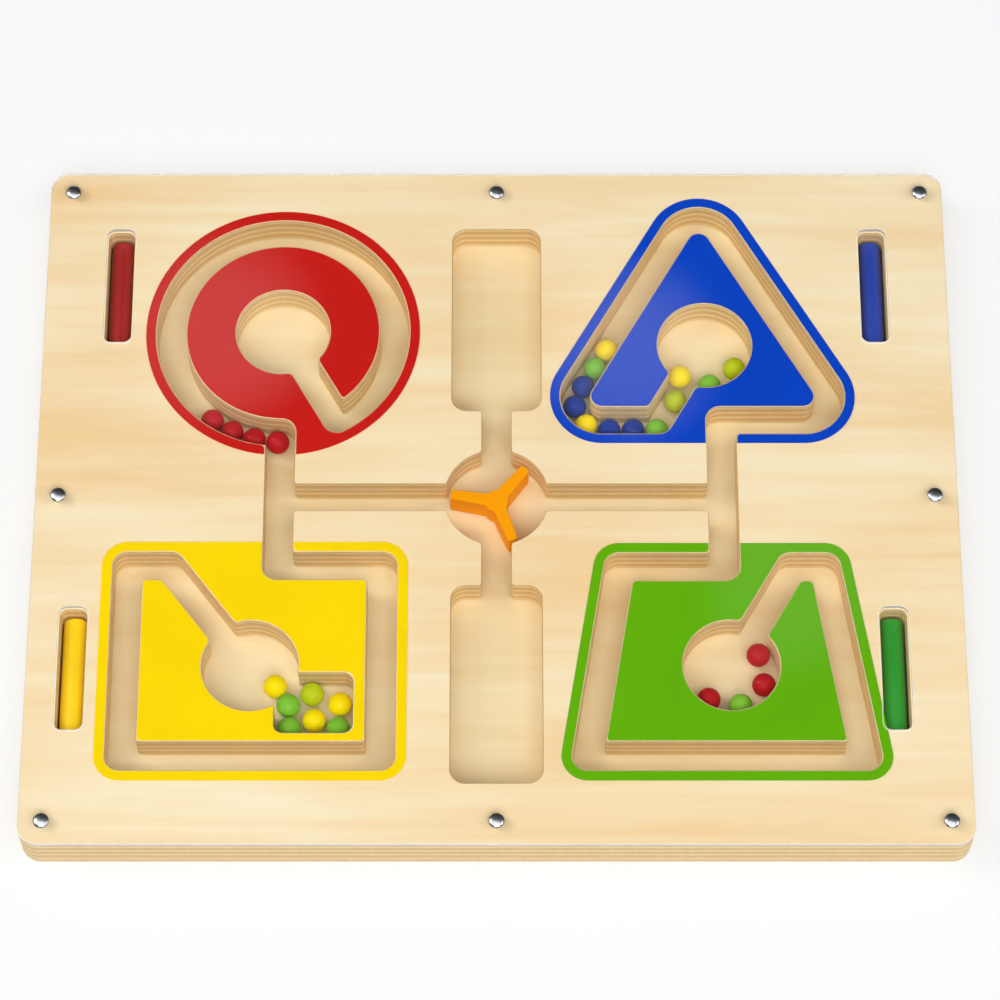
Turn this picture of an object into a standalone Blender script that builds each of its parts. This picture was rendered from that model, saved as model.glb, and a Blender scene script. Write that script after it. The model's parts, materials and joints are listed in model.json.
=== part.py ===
"""A wooden magnetic maze board.

A plywood maze layer on a backing board holds painted steel balls under a clear cover, four wands with
magnets in their ends lie in slots, and a three-armed spinner turns where the lanes cross.
The origin is the middle of the underside: X runs along the board, Y across it, Z up out of its face.
"""

from math import acos, asin, atan2, ceil, copysign, cos, pi, radians, sin, tan

import bmesh
import bpy
from mathutils import Matrix, Vector
from mathutils.geometry import delaunay_2d_cdt

MM = 0.001

# Gaps between pieces
FIT_GAP = 0.3 * MM
SHEET_GAP = 0.2 * MM
WELD_DISTANCE = 0.001 * MM
CUT_OVERRUN = 1 * MM

# Balls
BALL_DIAMETER = 9.5 * MM
BALL_SPACE = 0.3 * MM
BALL_SIDE_ROOM = 2.5 * MM
BALL_HEADROOM = 5 * MM
BALL_SEGMENTS = 12
BALL_RINGS = 6
BALL_RADIUS = BALL_DIAMETER / 2
BALL_PITCH = BALL_DIAMETER + BALL_SPACE

# Board and its layers
BOARD_WIDTH = 375 * MM
BOARD_DEPTH = 300 * MM
BOARD_CORNER_RADIUS = 8 * MM
BASE_THICKNESS = 3 * MM
MAZE_THICKNESS = BALL_DIAMETER + BALL_HEADROOM
PAINT_THICKNESS = 0.2 * MM
PAINT_BAND_WIDTH = 4.4 * MM
PAINT_SETBACK = 0.5 * MM
COVER_THICKNESS = 2 * MM
MAZE_BOTTOM = BASE_THICKNESS + SHEET_GAP
MAZE_TOP = MAZE_BOTTOM + MAZE_THICKNESS
PAINT_BOTTOM = MAZE_TOP + SHEET_GAP
PAINT_TOP = PAINT_BOTTOM + PAINT_THICKNESS
COVER_BOTTOM = PAINT_TOP + SHEET_GAP
COVER_TOP = COVER_BOTTOM + COVER_THICKNESS
BALL_Z = BASE_THICKNESS + FIT_GAP + BALL_RADIUS

# Lanes and the hole in the middle of each shape
CHANNEL_WIDTH = BALL_DIAMETER + BALL_SIDE_ROOM
LEFT_LANE_X = -88.4 * MM
HOLE_RADIUS = 19.3 * MM
EDGE_RADIUS = 0.8 * MM
EASED_SIDE_SHARE = 0.4

# Pockets above and below the spinner, where balls wait, set in from the board's edge
POCKET_WIDTH = 36.8 * MM
POCKET_LENGTH = 84.8 * MM
POCKET_EDGE_MARGIN = 26 * MM
POCKET_CORNER_RADIUS = 6 * MM
POCKET_NEAR_Y = BOARD_DEPTH / 2 - POCKET_EDGE_MARGIN - POCKET_LENGTH

# Circle track, centred on the left lane
CIRCLE_Y_SHARE = 0.2517
CIRCLE_TRACK_RADIUS = 46.3 * MM
CIRCLE_ENTRY_ANGLE = -90
CIRCLE_SPOKE_ANGLE = -60
CIRCLE_Y = BOARD_DEPTH * CIRCLE_Y_SHARE

# Triangle track: a wall away from the upper pocket, with its top corner near the board's edge.
# The margin is to the point where the middle lines of its two sides would meet.
TRIANGLE_BASE_Y = 34.8 * MM
TRIANGLE_HALF_BASE = 60.3 * MM
TRIANGLE_TRACK_RADIUS = 11 * MM
TRIANGLE_TOP_MARGIN = 10.8 * MM
TRIANGLE_POCKET_WALL = 8 * MM
TRIANGLE_LANE_SHIFT = 7.4 * MM
TRIANGLE_HOLE_SHIFT = Vector((1.4 * MM, -0.3 * MM))
TRIANGLE_SPOKE_ANGLE = 60
TRIANGLE_TOP_Y = BOARD_DEPTH / 2 - TRIANGLE_TOP_MARGIN
TRIANGLE_HALF_CORNER = atan2(TRIANGLE_TOP_Y - TRIANGLE_BASE_Y, TRIANGLE_HALF_BASE) / 2
TRIANGLE_CORNER_INSET = TRIANGLE_TRACK_RADIUS / tan(TRIANGLE_HALF_CORNER)
TRIANGLE_ARC_X = POCKET_WIDTH / 2 + TRIANGLE_POCKET_WALL + CHANNEL_WIDTH / 2 + TRIANGLE_TRACK_RADIUS
TRIANGLE_LEFT = TRIANGLE_ARC_X - TRIANGLE_CORNER_INSET
TRIANGLE_X = TRIANGLE_LEFT + TRIANGLE_HALF_BASE
TRIANGLE_MIDDLE_Y = TRIANGLE_BASE_Y + TRIANGLE_HALF_BASE * tan(TRIANGLE_HALF_CORNER)
TRIANGLE_HOLE = Vector((TRIANGLE_X, TRIANGLE_MIDDLE_Y)) + TRIANGLE_HOLE_SHIFT
RIGHT_LANE_X = TRIANGLE_X + TRIANGLE_LANE_SHIFT

# Both lower tracks end this far from the board's near edge
LOWER_TRACK_MARGIN = 37.5 * MM
LOWER_TRACK_BOTTOM = LOWER_TRACK_MARGIN - BOARD_DEPTH / 2

# Square track
SQUARE_LEFT = -148.6 * MM
SQUARE_RIGHT = -46.1 * MM
SQUARE_TOP = -30.5 * MM
SQUARE_HOLE_SHARES = (0.491, 0.47)
SQUARE_SPOKE_ANGLE = 127.5
SQUARE_BOTTOM = LOWER_TRACK_BOTTOM
SQUARE_HOLE = Vector((
    SQUARE_LEFT + (SQUARE_RIGHT - SQUARE_LEFT) * SQUARE_HOLE_SHARES[0],
    SQUARE_BOTTOM + (SQUARE_TOP - SQUARE_BOTTOM) * SQUARE_HOLE_SHARES[1],
))

# Trapezoid track
TRAPEZOID_X = 91 * MM
TRAPEZOID_TOP = -31 * MM
TRAPEZOID_HALF_TOP = 41.5 * MM
TRAPEZOID_HALF_BOTTOM = 55 * MM
TRAPEZOID_HOLE_SHIFT = 2.7 * MM
TRAPEZOID_HOLE_SHARE = 0.475
TRAPEZOID_SPOKE_ANGLE = 59.5
TRAPEZOID_BOTTOM = LOWER_TRACK_BOTTOM
TRAPEZOID_HOLE = Vector((
    TRAPEZOID_X + TRAPEZOID_HOLE_SHIFT,
    TRAPEZOID_BOTTOM + (TRAPEZOID_TOP - TRAPEZOID_BOTTOM) * TRAPEZOID_HOLE_SHARE,
))

# Spinner and its pin
SPINNER_RADIUS = 19 * MM
SPINNER_ARM_WIDTH = 4.8 * MM
SPINNER_TIP_CORNER_RADIUS = 1 * MM
SPINNER_HUB_FILLET = 7 * MM
SPINNER_HEADROOM = 3.2 * MM
SPINNER_ROOF = 2 * MM
SPINNER_ANGLE = 51
SPINNER_ARMS = 3
WELL_CLEARANCE = 2.2 * MM
PIN_RADIUS = 1.5 * MM
PIN_SINK = 2.4 * MM
PIN_CHAMFER = 0.4 * MM
SPINNER_BOTTOM = BASE_THICKNESS + FIT_GAP
SPINNER_TOP = SPINNER_BOTTOM + MAZE_THICKNESS - SPINNER_HEADROOM
WELL_RADIUS = SPINNER_RADIUS + WELL_CLEARANCE

# Wands, their magnets and their slots
WAND_DIAMETER = 9.5 * MM
WAND_LENGTH = 49.5 * MM
WAND_CHAMFER = 0.9 * MM
WAND_SIDE_ROOM = 0.65 * MM
WAND_END_ROOM = 1.2 * MM
SLOT_CORNER_RADIUS = 3 * MM
UPPER_WAND_SIDE_MARGIN = 30.5 * MM
GREEN_WAND_SIDE_MARGIN = 28.5 * MM
YELLOW_WAND_SIDE_MARGIN = 18 * MM
UPPER_WAND_EDGE_MARGIN = 53.4 * MM
LOWER_WAND_EDGE_MARGIN = 74.5 * MM
MAGNET_DIAMETER = 6 * MM
MAGNET_LENGTH = 6 * MM
MAGNET_CHAMFER = 0.3 * MM
COVER_LIP = 0.6 * MM
UPPER_WAND_X = BOARD_WIDTH / 2 - UPPER_WAND_SIDE_MARGIN
UPPER_WAND_Y = BOARD_DEPTH / 2 - UPPER_WAND_EDGE_MARGIN
LOWER_WAND_Y = LOWER_WAND_EDGE_MARGIN - BOARD_DEPTH / 2
GREEN_WAND_X = BOARD_WIDTH / 2 - GREEN_WAND_SIDE_MARGIN
YELLOW_WAND_X = YELLOW_WAND_SIDE_MARGIN - BOARD_WIDTH / 2
WAND_RADIUS = WAND_DIAMETER / 2
WAND_Z = BASE_THICKNESS + FIT_GAP + WAND_RADIUS

# Cover screws
SCREW_INSET = 9.5 * MM
SCREW_HEAD_RADIUS = 3.2 * MM
SCREW_HEAD_HEIGHT = 1.6 * MM
SCREW_RIM_HEIGHT = 0.5 * MM
SCREW_SHANK_RADIUS = 1.3 * MM
SCREW_POINT_LENGTH = 1.5 * MM
SCREW_BITE_SHARE = 0.7

# The pile of balls in the square's bay, from the pile's middle, in ball pitches.
# The pile lies beside and below the hole, and clear of the lower right corner of the track.
PILE_REACH = 25.3 * MM
PILE_DROP = 16 * MM
PILE_INSET_X = 26.9 * MM
PILE_INSET_Y = 22.5 * MM
PILE_CENTRE = Vector((
    min(SQUARE_HOLE.x + PILE_REACH, SQUARE_RIGHT - PILE_INSET_X),
    max(SQUARE_HOLE.y - PILE_DROP, SQUARE_BOTTOM + PILE_INSET_Y),
))
PILE_PLACE_SHARES = (
    (-1.58, 1.10),
    (-1.03, 0.27),
    (-0.06, 0.76),
    (1.08, 0.32),
    (0.04, -0.39),
    (-0.97, -0.74),
    (1.02, -0.74),
)
BAY_ROOM = 0.7 * MM
BAY_CORNER_RADIUS = 4 * MM

# Rows of balls
ROW_STEP = 0.02 * MM
ORBIT_ROOM = 0.5 * MM
ORBIT_SPREAD_SHARE = 1.35
CIRCLE_ROW_ANGLE = -92
TRIANGLE_ORBIT_ANGLE = -136
TRAPEZOID_ORBIT_ANGLE = 36
SPOKE_BALL_SHARE = 0.39
CIRCLE_ROW_COLOURS = ("red", "red", "red", "red")
TRIANGLE_ROW_COLOURS = ("green", "blue", "blue", "yellow", "blue", "blue", "green", "yellow")
TRIANGLE_SPOKE_COLOUR = "green"
TRIANGLE_ORBIT_COLOURS = ("yellow", "green", "green")
PILE_COLOURS = ("yellow", "green", "green", "yellow", "yellow", "green", "green")
TRAPEZOID_ORBIT_COLOURS = ("red", "red", "green", "red")

# Facets: how far an arc's sides may lie inside it, and the widest turn between two sides
ARC_SAG = 0.1 * MM
WIDEST_ARC_STEP = radians(24)
SHARP_TURN = radians(30)
TURNED_SEGMENTS = 16
SCREW_SEGMENTS = 10

# Colours, as red, green and blue from 0 to 1
PAINTS = {
    "red": (0.62, 0.021, 0.017),
    "blue": (0.003, 0.055, 0.5),
    "yellow": (0.96, 0.68, 0.004),
    "green": (0.12, 0.41, 0.006),
}
BALL_PAINTS = {
    "red": (0.36, 0.012, 0.02),
    "blue": (0.004, 0.03, 0.26),
    "yellow": (0.93, 0.70, 0.01),
    "green": (0.16, 0.42, 0.05),
}
WAND_PAINTS = {
    "red": (0.35, 0.012, 0.02),
    "blue": (0.012, 0.06, 0.36),
    "yellow": (0.9, 0.62, 0.01),
    "green": (0.015, 0.28, 0.05),
}
PLYWOOD = (0.85, 0.68, 0.42)
BACKING_WOOD = (0.78, 0.58, 0.33)
SPINNER_ORANGE = (1.0, 0.33, 0.0)
CLEAR = (0.92, 0.95, 0.96)
STEEL = (0.62, 0.62, 0.64)
MAGNET_METAL = (0.5, 0.5, 0.52)


def clear_scene():
    for obj in list(bpy.data.objects):
        bpy.data.objects.remove(obj)


# Outlines


def rotated(vector, angle):
    return Matrix.Rotation(angle, 2) @ vector


def on_circle(centre, radius, degrees):
    return Vector(centre) + rotated(Vector((radius, 0)), radians(degrees))


def arc_steps(radius, turn):
    """How many sides an arc needs: an even number, so that it has a middle point."""
    finest = 2 * acos(max(0, 1 - ARC_SAG / radius))
    return 2 * ceil(abs(turn) / min(finest, WIDEST_ARC_STEP) / 2)


def arc(centre, radius, start, end):
    """Points from one angle to another, in degrees, both ends included."""
    steps = arc_steps(radius, radians(end - start))
    return [on_circle(centre, radius, start + (end - start) * i / steps) for i in range(steps + 1)]


def circle(centre, radius):
    return arc(centre, radius, 0, 360)[:-1]


def sides_of_corner(corners, i):
    """A corner's point and the directions from it to the corners before and after it."""
    here = Vector(corners[i][:2])
    before = Vector(corners[i - 1][:2]) - here
    after = Vector(corners[(i + 1) % len(corners)][:2]) - here
    return here, before.normalized(), after.normalized()


def rounded_corner(here, before, after, radius):
    """An arc that touches both sides of a corner."""
    half = before.angle(after) / 2
    centre = here + (before + after).normalized() * radius / sin(half)
    spoke = here + before * radius / tan(half) - centre
    turn = (pi - 2 * half) * -copysign(1, before.cross(after))
    steps = arc_steps(radius, turn)
    return [centre + rotated(spoke, turn * i / steps) for i in range(steps + 1)]


def rounded(corners, closed=True):
    """The points of an outline, or of an open path, whose corners are (x, y, radius)."""
    points = []
    for i, (x, y, radius) in enumerate(corners):
        is_end = not closed and i in (0, len(corners) - 1)
        if radius > 0 and not is_end:
            points += rounded_corner(*sides_of_corner(corners, i), radius)
        else:
            points.append(Vector((x, y)))
    return points


def grown(corners, distance):
    """A closed outline's corners moved outward, with their radii growing alike."""
    result = []
    for i, corner in enumerate(corners):
        here, before, after = sides_of_corner(corners, i)
        half = before.angle(after) / 2
        moved = here - (before + after).normalized() * distance / sin(half)
        result.append((moved.x, moved.y, corner[2] + distance))
    return result


def rectangle(centre, width, depth, radius):
    x, y = centre
    right, left = x + width / 2, x - width / 2
    top, bottom = y + depth / 2, y - depth / 2
    return [(left, bottom, radius), (right, bottom, radius), (right, top, radius), (left, top, radius)]


def side_of(direction):
    """The unit vector to the left of a direction."""
    return Vector((-direction.y, direction.x))


def fan(spoke, turn):
    """A spoke turned through an angle in even steps, both ends included."""
    steps = arc_steps(spoke.length, turn)
    return [rotated(spoke, turn * i / steps) for i in range(steps + 1)]


def lane(path, setback, round_start=False):
    """The outline of a channel along a path: inner corners are sharp and outer ones round."""
    half = CHANNEL_WIDTH / 2 + setback
    directions = [(after - before).normalized() for before, after in zip(path, path[1:])]
    left = [path[0] + side_of(directions[0]) * half]
    right = [path[0] - side_of(directions[0]) * half]
    for here, before, after in zip(path[1:-1], directions, directions[1:]):
        turn = atan2(before.cross(after), before.dot(after))
        inside = (side_of(before) + side_of(after)).normalized() * half / cos(turn / 2)
        is_sharp = abs(turn) > SHARP_TURN
        outside = fan(side_of(before) * half, turn)
        left += [here + spoke for spoke in outside] if is_sharp and turn < 0 else [here + inside]
        right += [here - spoke for spoke in outside] if is_sharp and turn > 0 else [here - inside]
    left.append(path[-1] + side_of(directions[-1]) * half)
    right.append(path[-1] - side_of(directions[-1]) * half)
    cap = [path[0] + spoke for spoke in fan(-side_of(directions[0]) * half, -pi)][1:-1]
    return left + right[::-1] + (cap if round_start else [])


def counter_clockwise(outline):
    area = sum(a.cross(b) for a, b in zip(outline, outline[1:] + outline[:1]))
    return outline if area > 0 else outline[::-1]


def triangles_of(outlines, is_kept):
    """Triangulates overlapping outlines and keeps the triangles whose set of owners is wanted."""
    points, faces = [], []
    for outline in outlines:
        faces.append(list(range(len(points), len(points) + len(outline))))
        points += counter_clockwise(outline)
    found, _, triangles, _, _, owners = delaunay_2d_cdt(points, [], faces, 1, WELD_DISTANCE, True)
    return found, [corners for corners, owner in zip(triangles, owners) if is_kept(set(owner))]


def border_edges(triangles):
    """The edges that only one triangle has, running with the solid on their left."""
    edges = [edge for a, b, c in triangles for edge in ((a, b), (b, c), (c, a))]
    known = set(edges)
    return [(a, b) for a, b in edges if (b, a) not in known]


def softened(outline):
    """An outline with its sharp corners eased, as a router and sandpaper leave them."""
    points = []
    for i, here in enumerate(outline):
        before = outline[i - 1] - here
        after = outline[(i + 1) % len(outline)] - here
        half = before.angle(after) / 2
        if pi - 2 * half < SHARP_TURN:
            points.append(here)
            continue
        shorter = min(before.length, after.length)
        reach = min(EDGE_RADIUS / tan(half), shorter * EASED_SIDE_SHARE)
        radius = reach * tan(half)
        points += rounded_corner(here, before.normalized(), after.normalized(), radius)
    return points


def joined_outline(outlines):
    """The one outline round several overlapping ones."""
    points, triangles = triangles_of(outlines, bool)
    following = dict(border_edges(triangles))
    start = next(iter(following))
    loop, here = [points[start]], following[start]
    while here != start:
        loop.append(points[here])
        here = following[here]
    return softened(loop)


# The closed tracks round the shapes, as corners of (x, y, radius) on the channel's middle line


def triangle_track():
    return [
        (TRIANGLE_X + TRIANGLE_HALF_BASE, TRIANGLE_BASE_Y, TRIANGLE_TRACK_RADIUS),
        (TRIANGLE_X, TRIANGLE_TOP_Y, TRIANGLE_TRACK_RADIUS),
        (TRIANGLE_LEFT, TRIANGLE_BASE_Y, TRIANGLE_TRACK_RADIUS),
    ]


def square_track():
    return [
        (SQUARE_RIGHT, SQUARE_TOP, 0),
        (SQUARE_RIGHT, SQUARE_BOTTOM, 0),
        (SQUARE_LEFT, SQUARE_BOTTOM, 0),
        (SQUARE_LEFT, SQUARE_TOP, 0),
    ]


def trapezoid_track():
    return [
        (TRAPEZOID_X - TRAPEZOID_HALF_TOP, TRAPEZOID_TOP, 0),
        (TRAPEZOID_X - TRAPEZOID_HALF_BOTTOM, TRAPEZOID_BOTTOM, 0),
        (TRAPEZOID_X + TRAPEZOID_HALF_BOTTOM, TRAPEZOID_BOTTOM, 0),
        (TRAPEZOID_X + TRAPEZOID_HALF_TOP, TRAPEZOID_TOP, 0),
    ]


def spoke_foot(hole, angle, track_y):
    """Where the straight lane from a hole's middle, at an angle, meets a level track."""
    return Vector((hole.x + (track_y - hole.y) / tan(radians(angle)), track_y))


def circle_centre():
    return Vector((LEFT_LANE_X, CIRCLE_Y))


def circle_lanes(setback):
    """The lane up from the crossing, the ring, and the spoke from the ring's end to the hole."""
    centre = circle_centre()
    ring = arc(centre, CIRCLE_TRACK_RADIUS, CIRCLE_ENTRY_ANGLE, CIRCLE_SPOKE_ANGLE - 360)
    entry = [ring[0], Vector((LEFT_LANE_X, 0))]
    spoke = [ring[-1], centre]
    ends = [lane(path, setback, round_start=True) for path in (entry, spoke)]
    return [lane(ring, setback), *ends]


def shape_lane(lane_x, track, hole, angle, setback):
    """The lane from the crossing into a shape, round its track, and in to its hole."""
    track_y = track[0][1]
    foot = spoke_foot(hole, angle, track_y)
    corners = [(lane_x, 0, 0), (lane_x, track_y, 0)] + track + [(*foot, 0), (*hole, 0)]
    return lane(rounded(corners, closed=False), setback)


def bay(setback):
    """The bay beside the square's hole, just large enough for the pile of balls.

    The first ball lies in the hole's mouth, above the bay, so the bay's upper edge passes under it.
    """
    places = pile_places()
    room = BALL_RADIUS + BAY_ROOM + setback
    left = min(place.x for place in places)
    right = max(place.x for place in places) + room
    top = max(place.y for place in places[1:]) + room
    bottom = min(place.y for place in places) - room
    centre = ((left + right) / 2, (top + bottom) / 2)
    return rounded(rectangle(centre, right - left, top - bottom, BAY_CORNER_RADIUS))


def pocket(direction):
    centre = (0, direction * (POCKET_NEAR_Y + POCKET_LENGTH / 2))
    return rounded(rectangle(centre, POCKET_WIDTH, POCKET_LENGTH, POCKET_CORNER_RADIUS))


def maze_outline(setback=0):
    """Everything that the balls roll in, as one outline. The paint stops a setback short of it."""
    holes = (circle_centre(), TRIANGLE_HOLE, SQUARE_HOLE, TRAPEZOID_HOLE)
    neck_reach = POCKET_NEAR_Y + POCKET_CORNER_RADIUS
    lanes = [
        lane([Vector((LEFT_LANE_X, 0)), Vector((RIGHT_LANE_X, 0))], setback),
        lane([Vector((0, -neck_reach)), Vector((0, neck_reach))], setback),
        shape_lane(RIGHT_LANE_X, triangle_track(), TRIANGLE_HOLE, TRIANGLE_SPOKE_ANGLE, setback),
        shape_lane(LEFT_LANE_X, square_track(), SQUARE_HOLE, SQUARE_SPOKE_ANGLE, setback),
        shape_lane(RIGHT_LANE_X, trapezoid_track(), TRAPEZOID_HOLE, TRAPEZOID_SPOKE_ANGLE, setback),
    ]
    rooms = [circle(hole, HOLE_RADIUS + setback) for hole in holes]
    rooms += [circle((0, 0), WELL_RADIUS), pocket(1), pocket(-1), bay(setback)]
    return joined_outline(lanes + circle_lanes(setback) + rooms)


# Solids


def material(name, colour, roughness, metallic=0.0, alpha=1.0):
    finish = bpy.data.materials.new(name)
    finish.use_nodes = True
    shader = finish.node_tree.nodes["Principled BSDF"]
    shader.inputs["Base Color"].default_value = (*colour, 1)
    shader.inputs["Roughness"].default_value = roughness
    shader.inputs["Metallic"].default_value = metallic
    shader.inputs["Alpha"].default_value = alpha
    return finish


def add_object(name, mesh, finish, location=(0, 0, 0), parent=None):
    """Links a mesh as an object. The location is in the parent's frame."""
    obj = bpy.data.objects.new(name, mesh)
    obj.location = location
    obj.parent = parent
    obj.data.materials.append(finish)
    bpy.context.scene.collection.objects.link(obj)
    return obj


def add_pivot(name, place):
    """An empty on a joint's axis, for the pieces that turn about it."""
    pivot = bpy.data.objects.new(name, None)
    pivot.location = (*place, 0)
    bpy.context.scene.collection.objects.link(pivot)
    return pivot


def slab_mesh(name, outline, cuts, bottom, top):
    """A flat sheet between two heights, with an outline and cut-outs."""
    points, triangles = triangles_of([outline] + cuts, lambda owners: owners == {0})
    mesh = bmesh.new()
    used = sorted({i for corners in triangles for i in corners})
    low = {i: mesh.verts.new((*points[i], bottom)) for i in used}
    high = {i: mesh.verts.new((*points[i], top)) for i in used}
    for a, b, c in triangles:
        mesh.faces.new((high[a], high[b], high[c]))
        mesh.faces.new((low[c], low[b], low[a]))
    for a, b in border_edges(triangles):
        mesh.faces.new((low[a], low[b], high[b], high[a]))
    return finished_mesh(name, mesh)


def turned_mesh(name, profile, segments=TURNED_SEGMENTS):
    """A solid turned about Z from a profile of (radius, height) that starts and ends on the axis."""
    mesh = bmesh.new()
    rings = []
    for radius, height in profile:
        angles = [2 * pi * i / segments for i in range(segments)] if radius > 0 else [0]
        rings.append([mesh.verts.new((radius * cos(a), radius * sin(a), height)) for a in angles])
    for lower, upper in zip(rings, rings[1:]):
        for i in range(segments):
            corners = [lower[i % len(lower)], lower[(i + 1) % len(lower)]]
            corners += [upper[(i + 1) % len(upper)], upper[i % len(upper)]]
            mesh.faces.new(tuple(dict.fromkeys(corners)))
    bmesh.ops.recalc_face_normals(mesh, faces=mesh.faces)
    return finished_mesh(name, mesh)


def finished_mesh(name, mesh):
    """Turns a bmesh into smooth-shaded mesh data with crisp edges."""
    data = bpy.data.meshes.new(name)
    mesh.to_mesh(data)
    mesh.free()
    data.shade_smooth()
    data.set_sharp_from_angle(angle=SHARP_TURN)
    return data


# The board


def board_outline():
    return rounded(rectangle((0, 0), BOARD_WIDTH, BOARD_DEPTH, BOARD_CORNER_RADIUS))


def wand_places():
    """Each wand's colour and the middle of its slot."""
    return {
        "red": Vector((-UPPER_WAND_X, UPPER_WAND_Y)),
        "blue": Vector((UPPER_WAND_X, UPPER_WAND_Y)),
        "green": Vector((GREEN_WAND_X, LOWER_WAND_Y)),
        "yellow": Vector((YELLOW_WAND_X, LOWER_WAND_Y)),
    }


def slot_corners(place):
    width = WAND_DIAMETER + 2 * WAND_SIDE_ROOM
    length = WAND_LENGTH + 2 * WAND_END_ROOM
    return rectangle(place, width, length, SLOT_CORNER_RADIUS)


def screw_places():
    """The cover's corners and the middle of each of its sides."""
    x, y = BOARD_WIDTH / 2 - SCREW_INSET, BOARD_DEPTH / 2 - SCREW_INSET
    grid = [(across * x, along * y) for across in (-1, 0, 1) for along in (-1, 0, 1)]
    return [Vector(place) for place in grid if place != (0, 0)]


def screw_holes():
    return [circle(place, SCREW_SHANK_RADIUS + FIT_GAP) for place in screw_places()]


def make_base_board():
    pin_hole = circle((0, 0), PIN_RADIUS + FIT_GAP)
    mesh = slab_mesh("base_board", board_outline(), [pin_hole], 0, BASE_THICKNESS)
    add_object("base_board", mesh, material("backing_wood", BACKING_WOOD, 0.6))


def make_maze_layer(lanes, slots):
    cuts = [lanes] + slots + screw_holes()
    mesh = slab_mesh("maze_layer", board_outline(), cuts, MAZE_BOTTOM, MAZE_TOP)
    add_object("maze_layer", mesh, material("plywood", PLYWOOD, 0.5))


def make_painted_faces():
    """The coloured face of each shape: its island and the band round its track, cut by the lanes."""
    lanes = maze_outline(PAINT_SETBACK)
    reach = CHANNEL_WIDTH / 2 + PAINT_BAND_WIDTH
    outlines = {
        "red": circle(circle_centre(), CIRCLE_TRACK_RADIUS + reach),
        "blue": rounded(grown(triangle_track(), reach)),
        "yellow": rounded(grown(square_track(), reach)),
        "green": rounded(grown(trapezoid_track(), reach)),
    }
    for colour, outline in outlines.items():
        name = f"{colour}_face"
        mesh = slab_mesh(name, outline, [lanes], PAINT_BOTTOM, PAINT_TOP)
        add_object(name, mesh, material(f"{colour}_paint", PAINTS[colour], 0.3))


def make_cover():
    windows = [rounded(grown(slot_corners(place), COVER_LIP)) for place in wand_places().values()]
    mesh = slab_mesh("clear_cover", board_outline(), windows + screw_holes(), COVER_BOTTOM, COVER_TOP)
    add_object("clear_cover", mesh, material("clear_sheet", CLEAR, 0.05, alpha=0.2))


def make_cover_screws():
    seat = COVER_TOP + SHEET_GAP
    tip = MAZE_TOP - MAZE_THICKNESS * SCREW_BITE_SHARE
    crown_radius = SCREW_HEAD_RADIUS / 2
    profile = [
        (0, tip),
        (SCREW_SHANK_RADIUS, tip + SCREW_POINT_LENGTH),
        (SCREW_SHANK_RADIUS, seat),
        (SCREW_HEAD_RADIUS, seat),
        (SCREW_HEAD_RADIUS, seat + SCREW_RIM_HEIGHT),
        (crown_radius, seat + SCREW_HEAD_HEIGHT),
        (0, seat + SCREW_HEAD_HEIGHT),
    ]
    for i, place in enumerate(screw_places()):
        name = f"cover_screw_{i + 1}"
        steel = material(f"{name}_steel", STEEL, 0.3, 1.0)
        add_object(name, turned_mesh(name, profile, SCREW_SEGMENTS), steel, location=(*place, 0))


# The spinner


def spinner_outline():
    """Three arms with square ends, and a fillet where two arms meet."""
    half = SPINNER_ARM_WIDTH / 2
    gap = pi / SPINNER_ARMS
    crotch = half / sin(gap)
    corners = []
    for i in range(SPINNER_ARMS):
        angle = radians(SPINNER_ANGLE) + 2 * gap * i
        for across in (-half, half):
            tip = rotated(Vector((SPINNER_RADIUS, across)), angle)
            corners.append((*tip, SPINNER_TIP_CORNER_RADIUS))
        corners.append((*rotated(Vector((crotch, 0)), angle + gap), SPINNER_HUB_FILLET))
    return rounded(corners)


def make_spinner():
    mesh = slab_mesh("spinner", spinner_outline(), [], SPINNER_BOTTOM, SPINNER_TOP)
    spinner = add_object("spinner", mesh, material("orange_paint", SPINNER_ORANGE, 0.35))
    low, high = SPINNER_BOTTOM - CUT_OVERRUN, SPINNER_TOP - SPINNER_ROOF
    bore = slab_mesh("spinner_bore", circle((0, 0), PIN_RADIUS + FIT_GAP), [], low, high)
    cutter = add_object("spinner_bore", bore, spinner.data.materials[0])
    cutter.hide_render = True
    cutter.display_type = "WIRE"
    cut = spinner.modifiers.new("bore", "BOOLEAN")
    cut.object = cutter
    cut.operation = "DIFFERENCE"
    cut.solver = "EXACT"


def make_spinner_pin():
    bottom = BASE_THICKNESS - PIN_SINK
    top = SPINNER_TOP - SPINNER_ROOF - FIT_GAP
    profile = [
        (0, bottom),
        (PIN_RADIUS, bottom),
        (PIN_RADIUS, top - PIN_CHAMFER),
        (PIN_RADIUS - PIN_CHAMFER, top),
        (0, top),
    ]
    mesh = turned_mesh("spinner_pin", profile)
    add_object("spinner_pin", mesh, material("pin_steel", STEEL, 0.3, 1.0))


# The wands


def wand_mesh(name):
    """A dowel with a chamfer at each end and a bore for the magnet in its lower end."""
    end = WAND_LENGTH / 2
    bore_radius = MAGNET_DIAMETER / 2 + FIT_GAP
    roof = -end + MAGNET_LENGTH + 2 * FIT_GAP
    profile = [
        (0, end),
        (WAND_RADIUS - WAND_CHAMFER, end),
        (WAND_RADIUS, end - WAND_CHAMFER),
        (WAND_RADIUS, WAND_CHAMFER - end),
        (WAND_RADIUS - WAND_CHAMFER, -end),
        (bore_radius, -end),
        (bore_radius, roof),
        (0, roof),
    ]
    return turned_mesh(name, profile)


def magnet_mesh(name):
    low = FIT_GAP - WAND_LENGTH / 2
    high = low + MAGNET_LENGTH
    radius = MAGNET_DIAMETER / 2
    inner = radius - MAGNET_CHAMFER
    profile = [
        (0, low),
        (inner, low),
        (radius, low + MAGNET_CHAMFER),
        (radius, high - MAGNET_CHAMFER),
        (inner, high),
        (0, high),
    ]
    return turned_mesh(name, profile)


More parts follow.
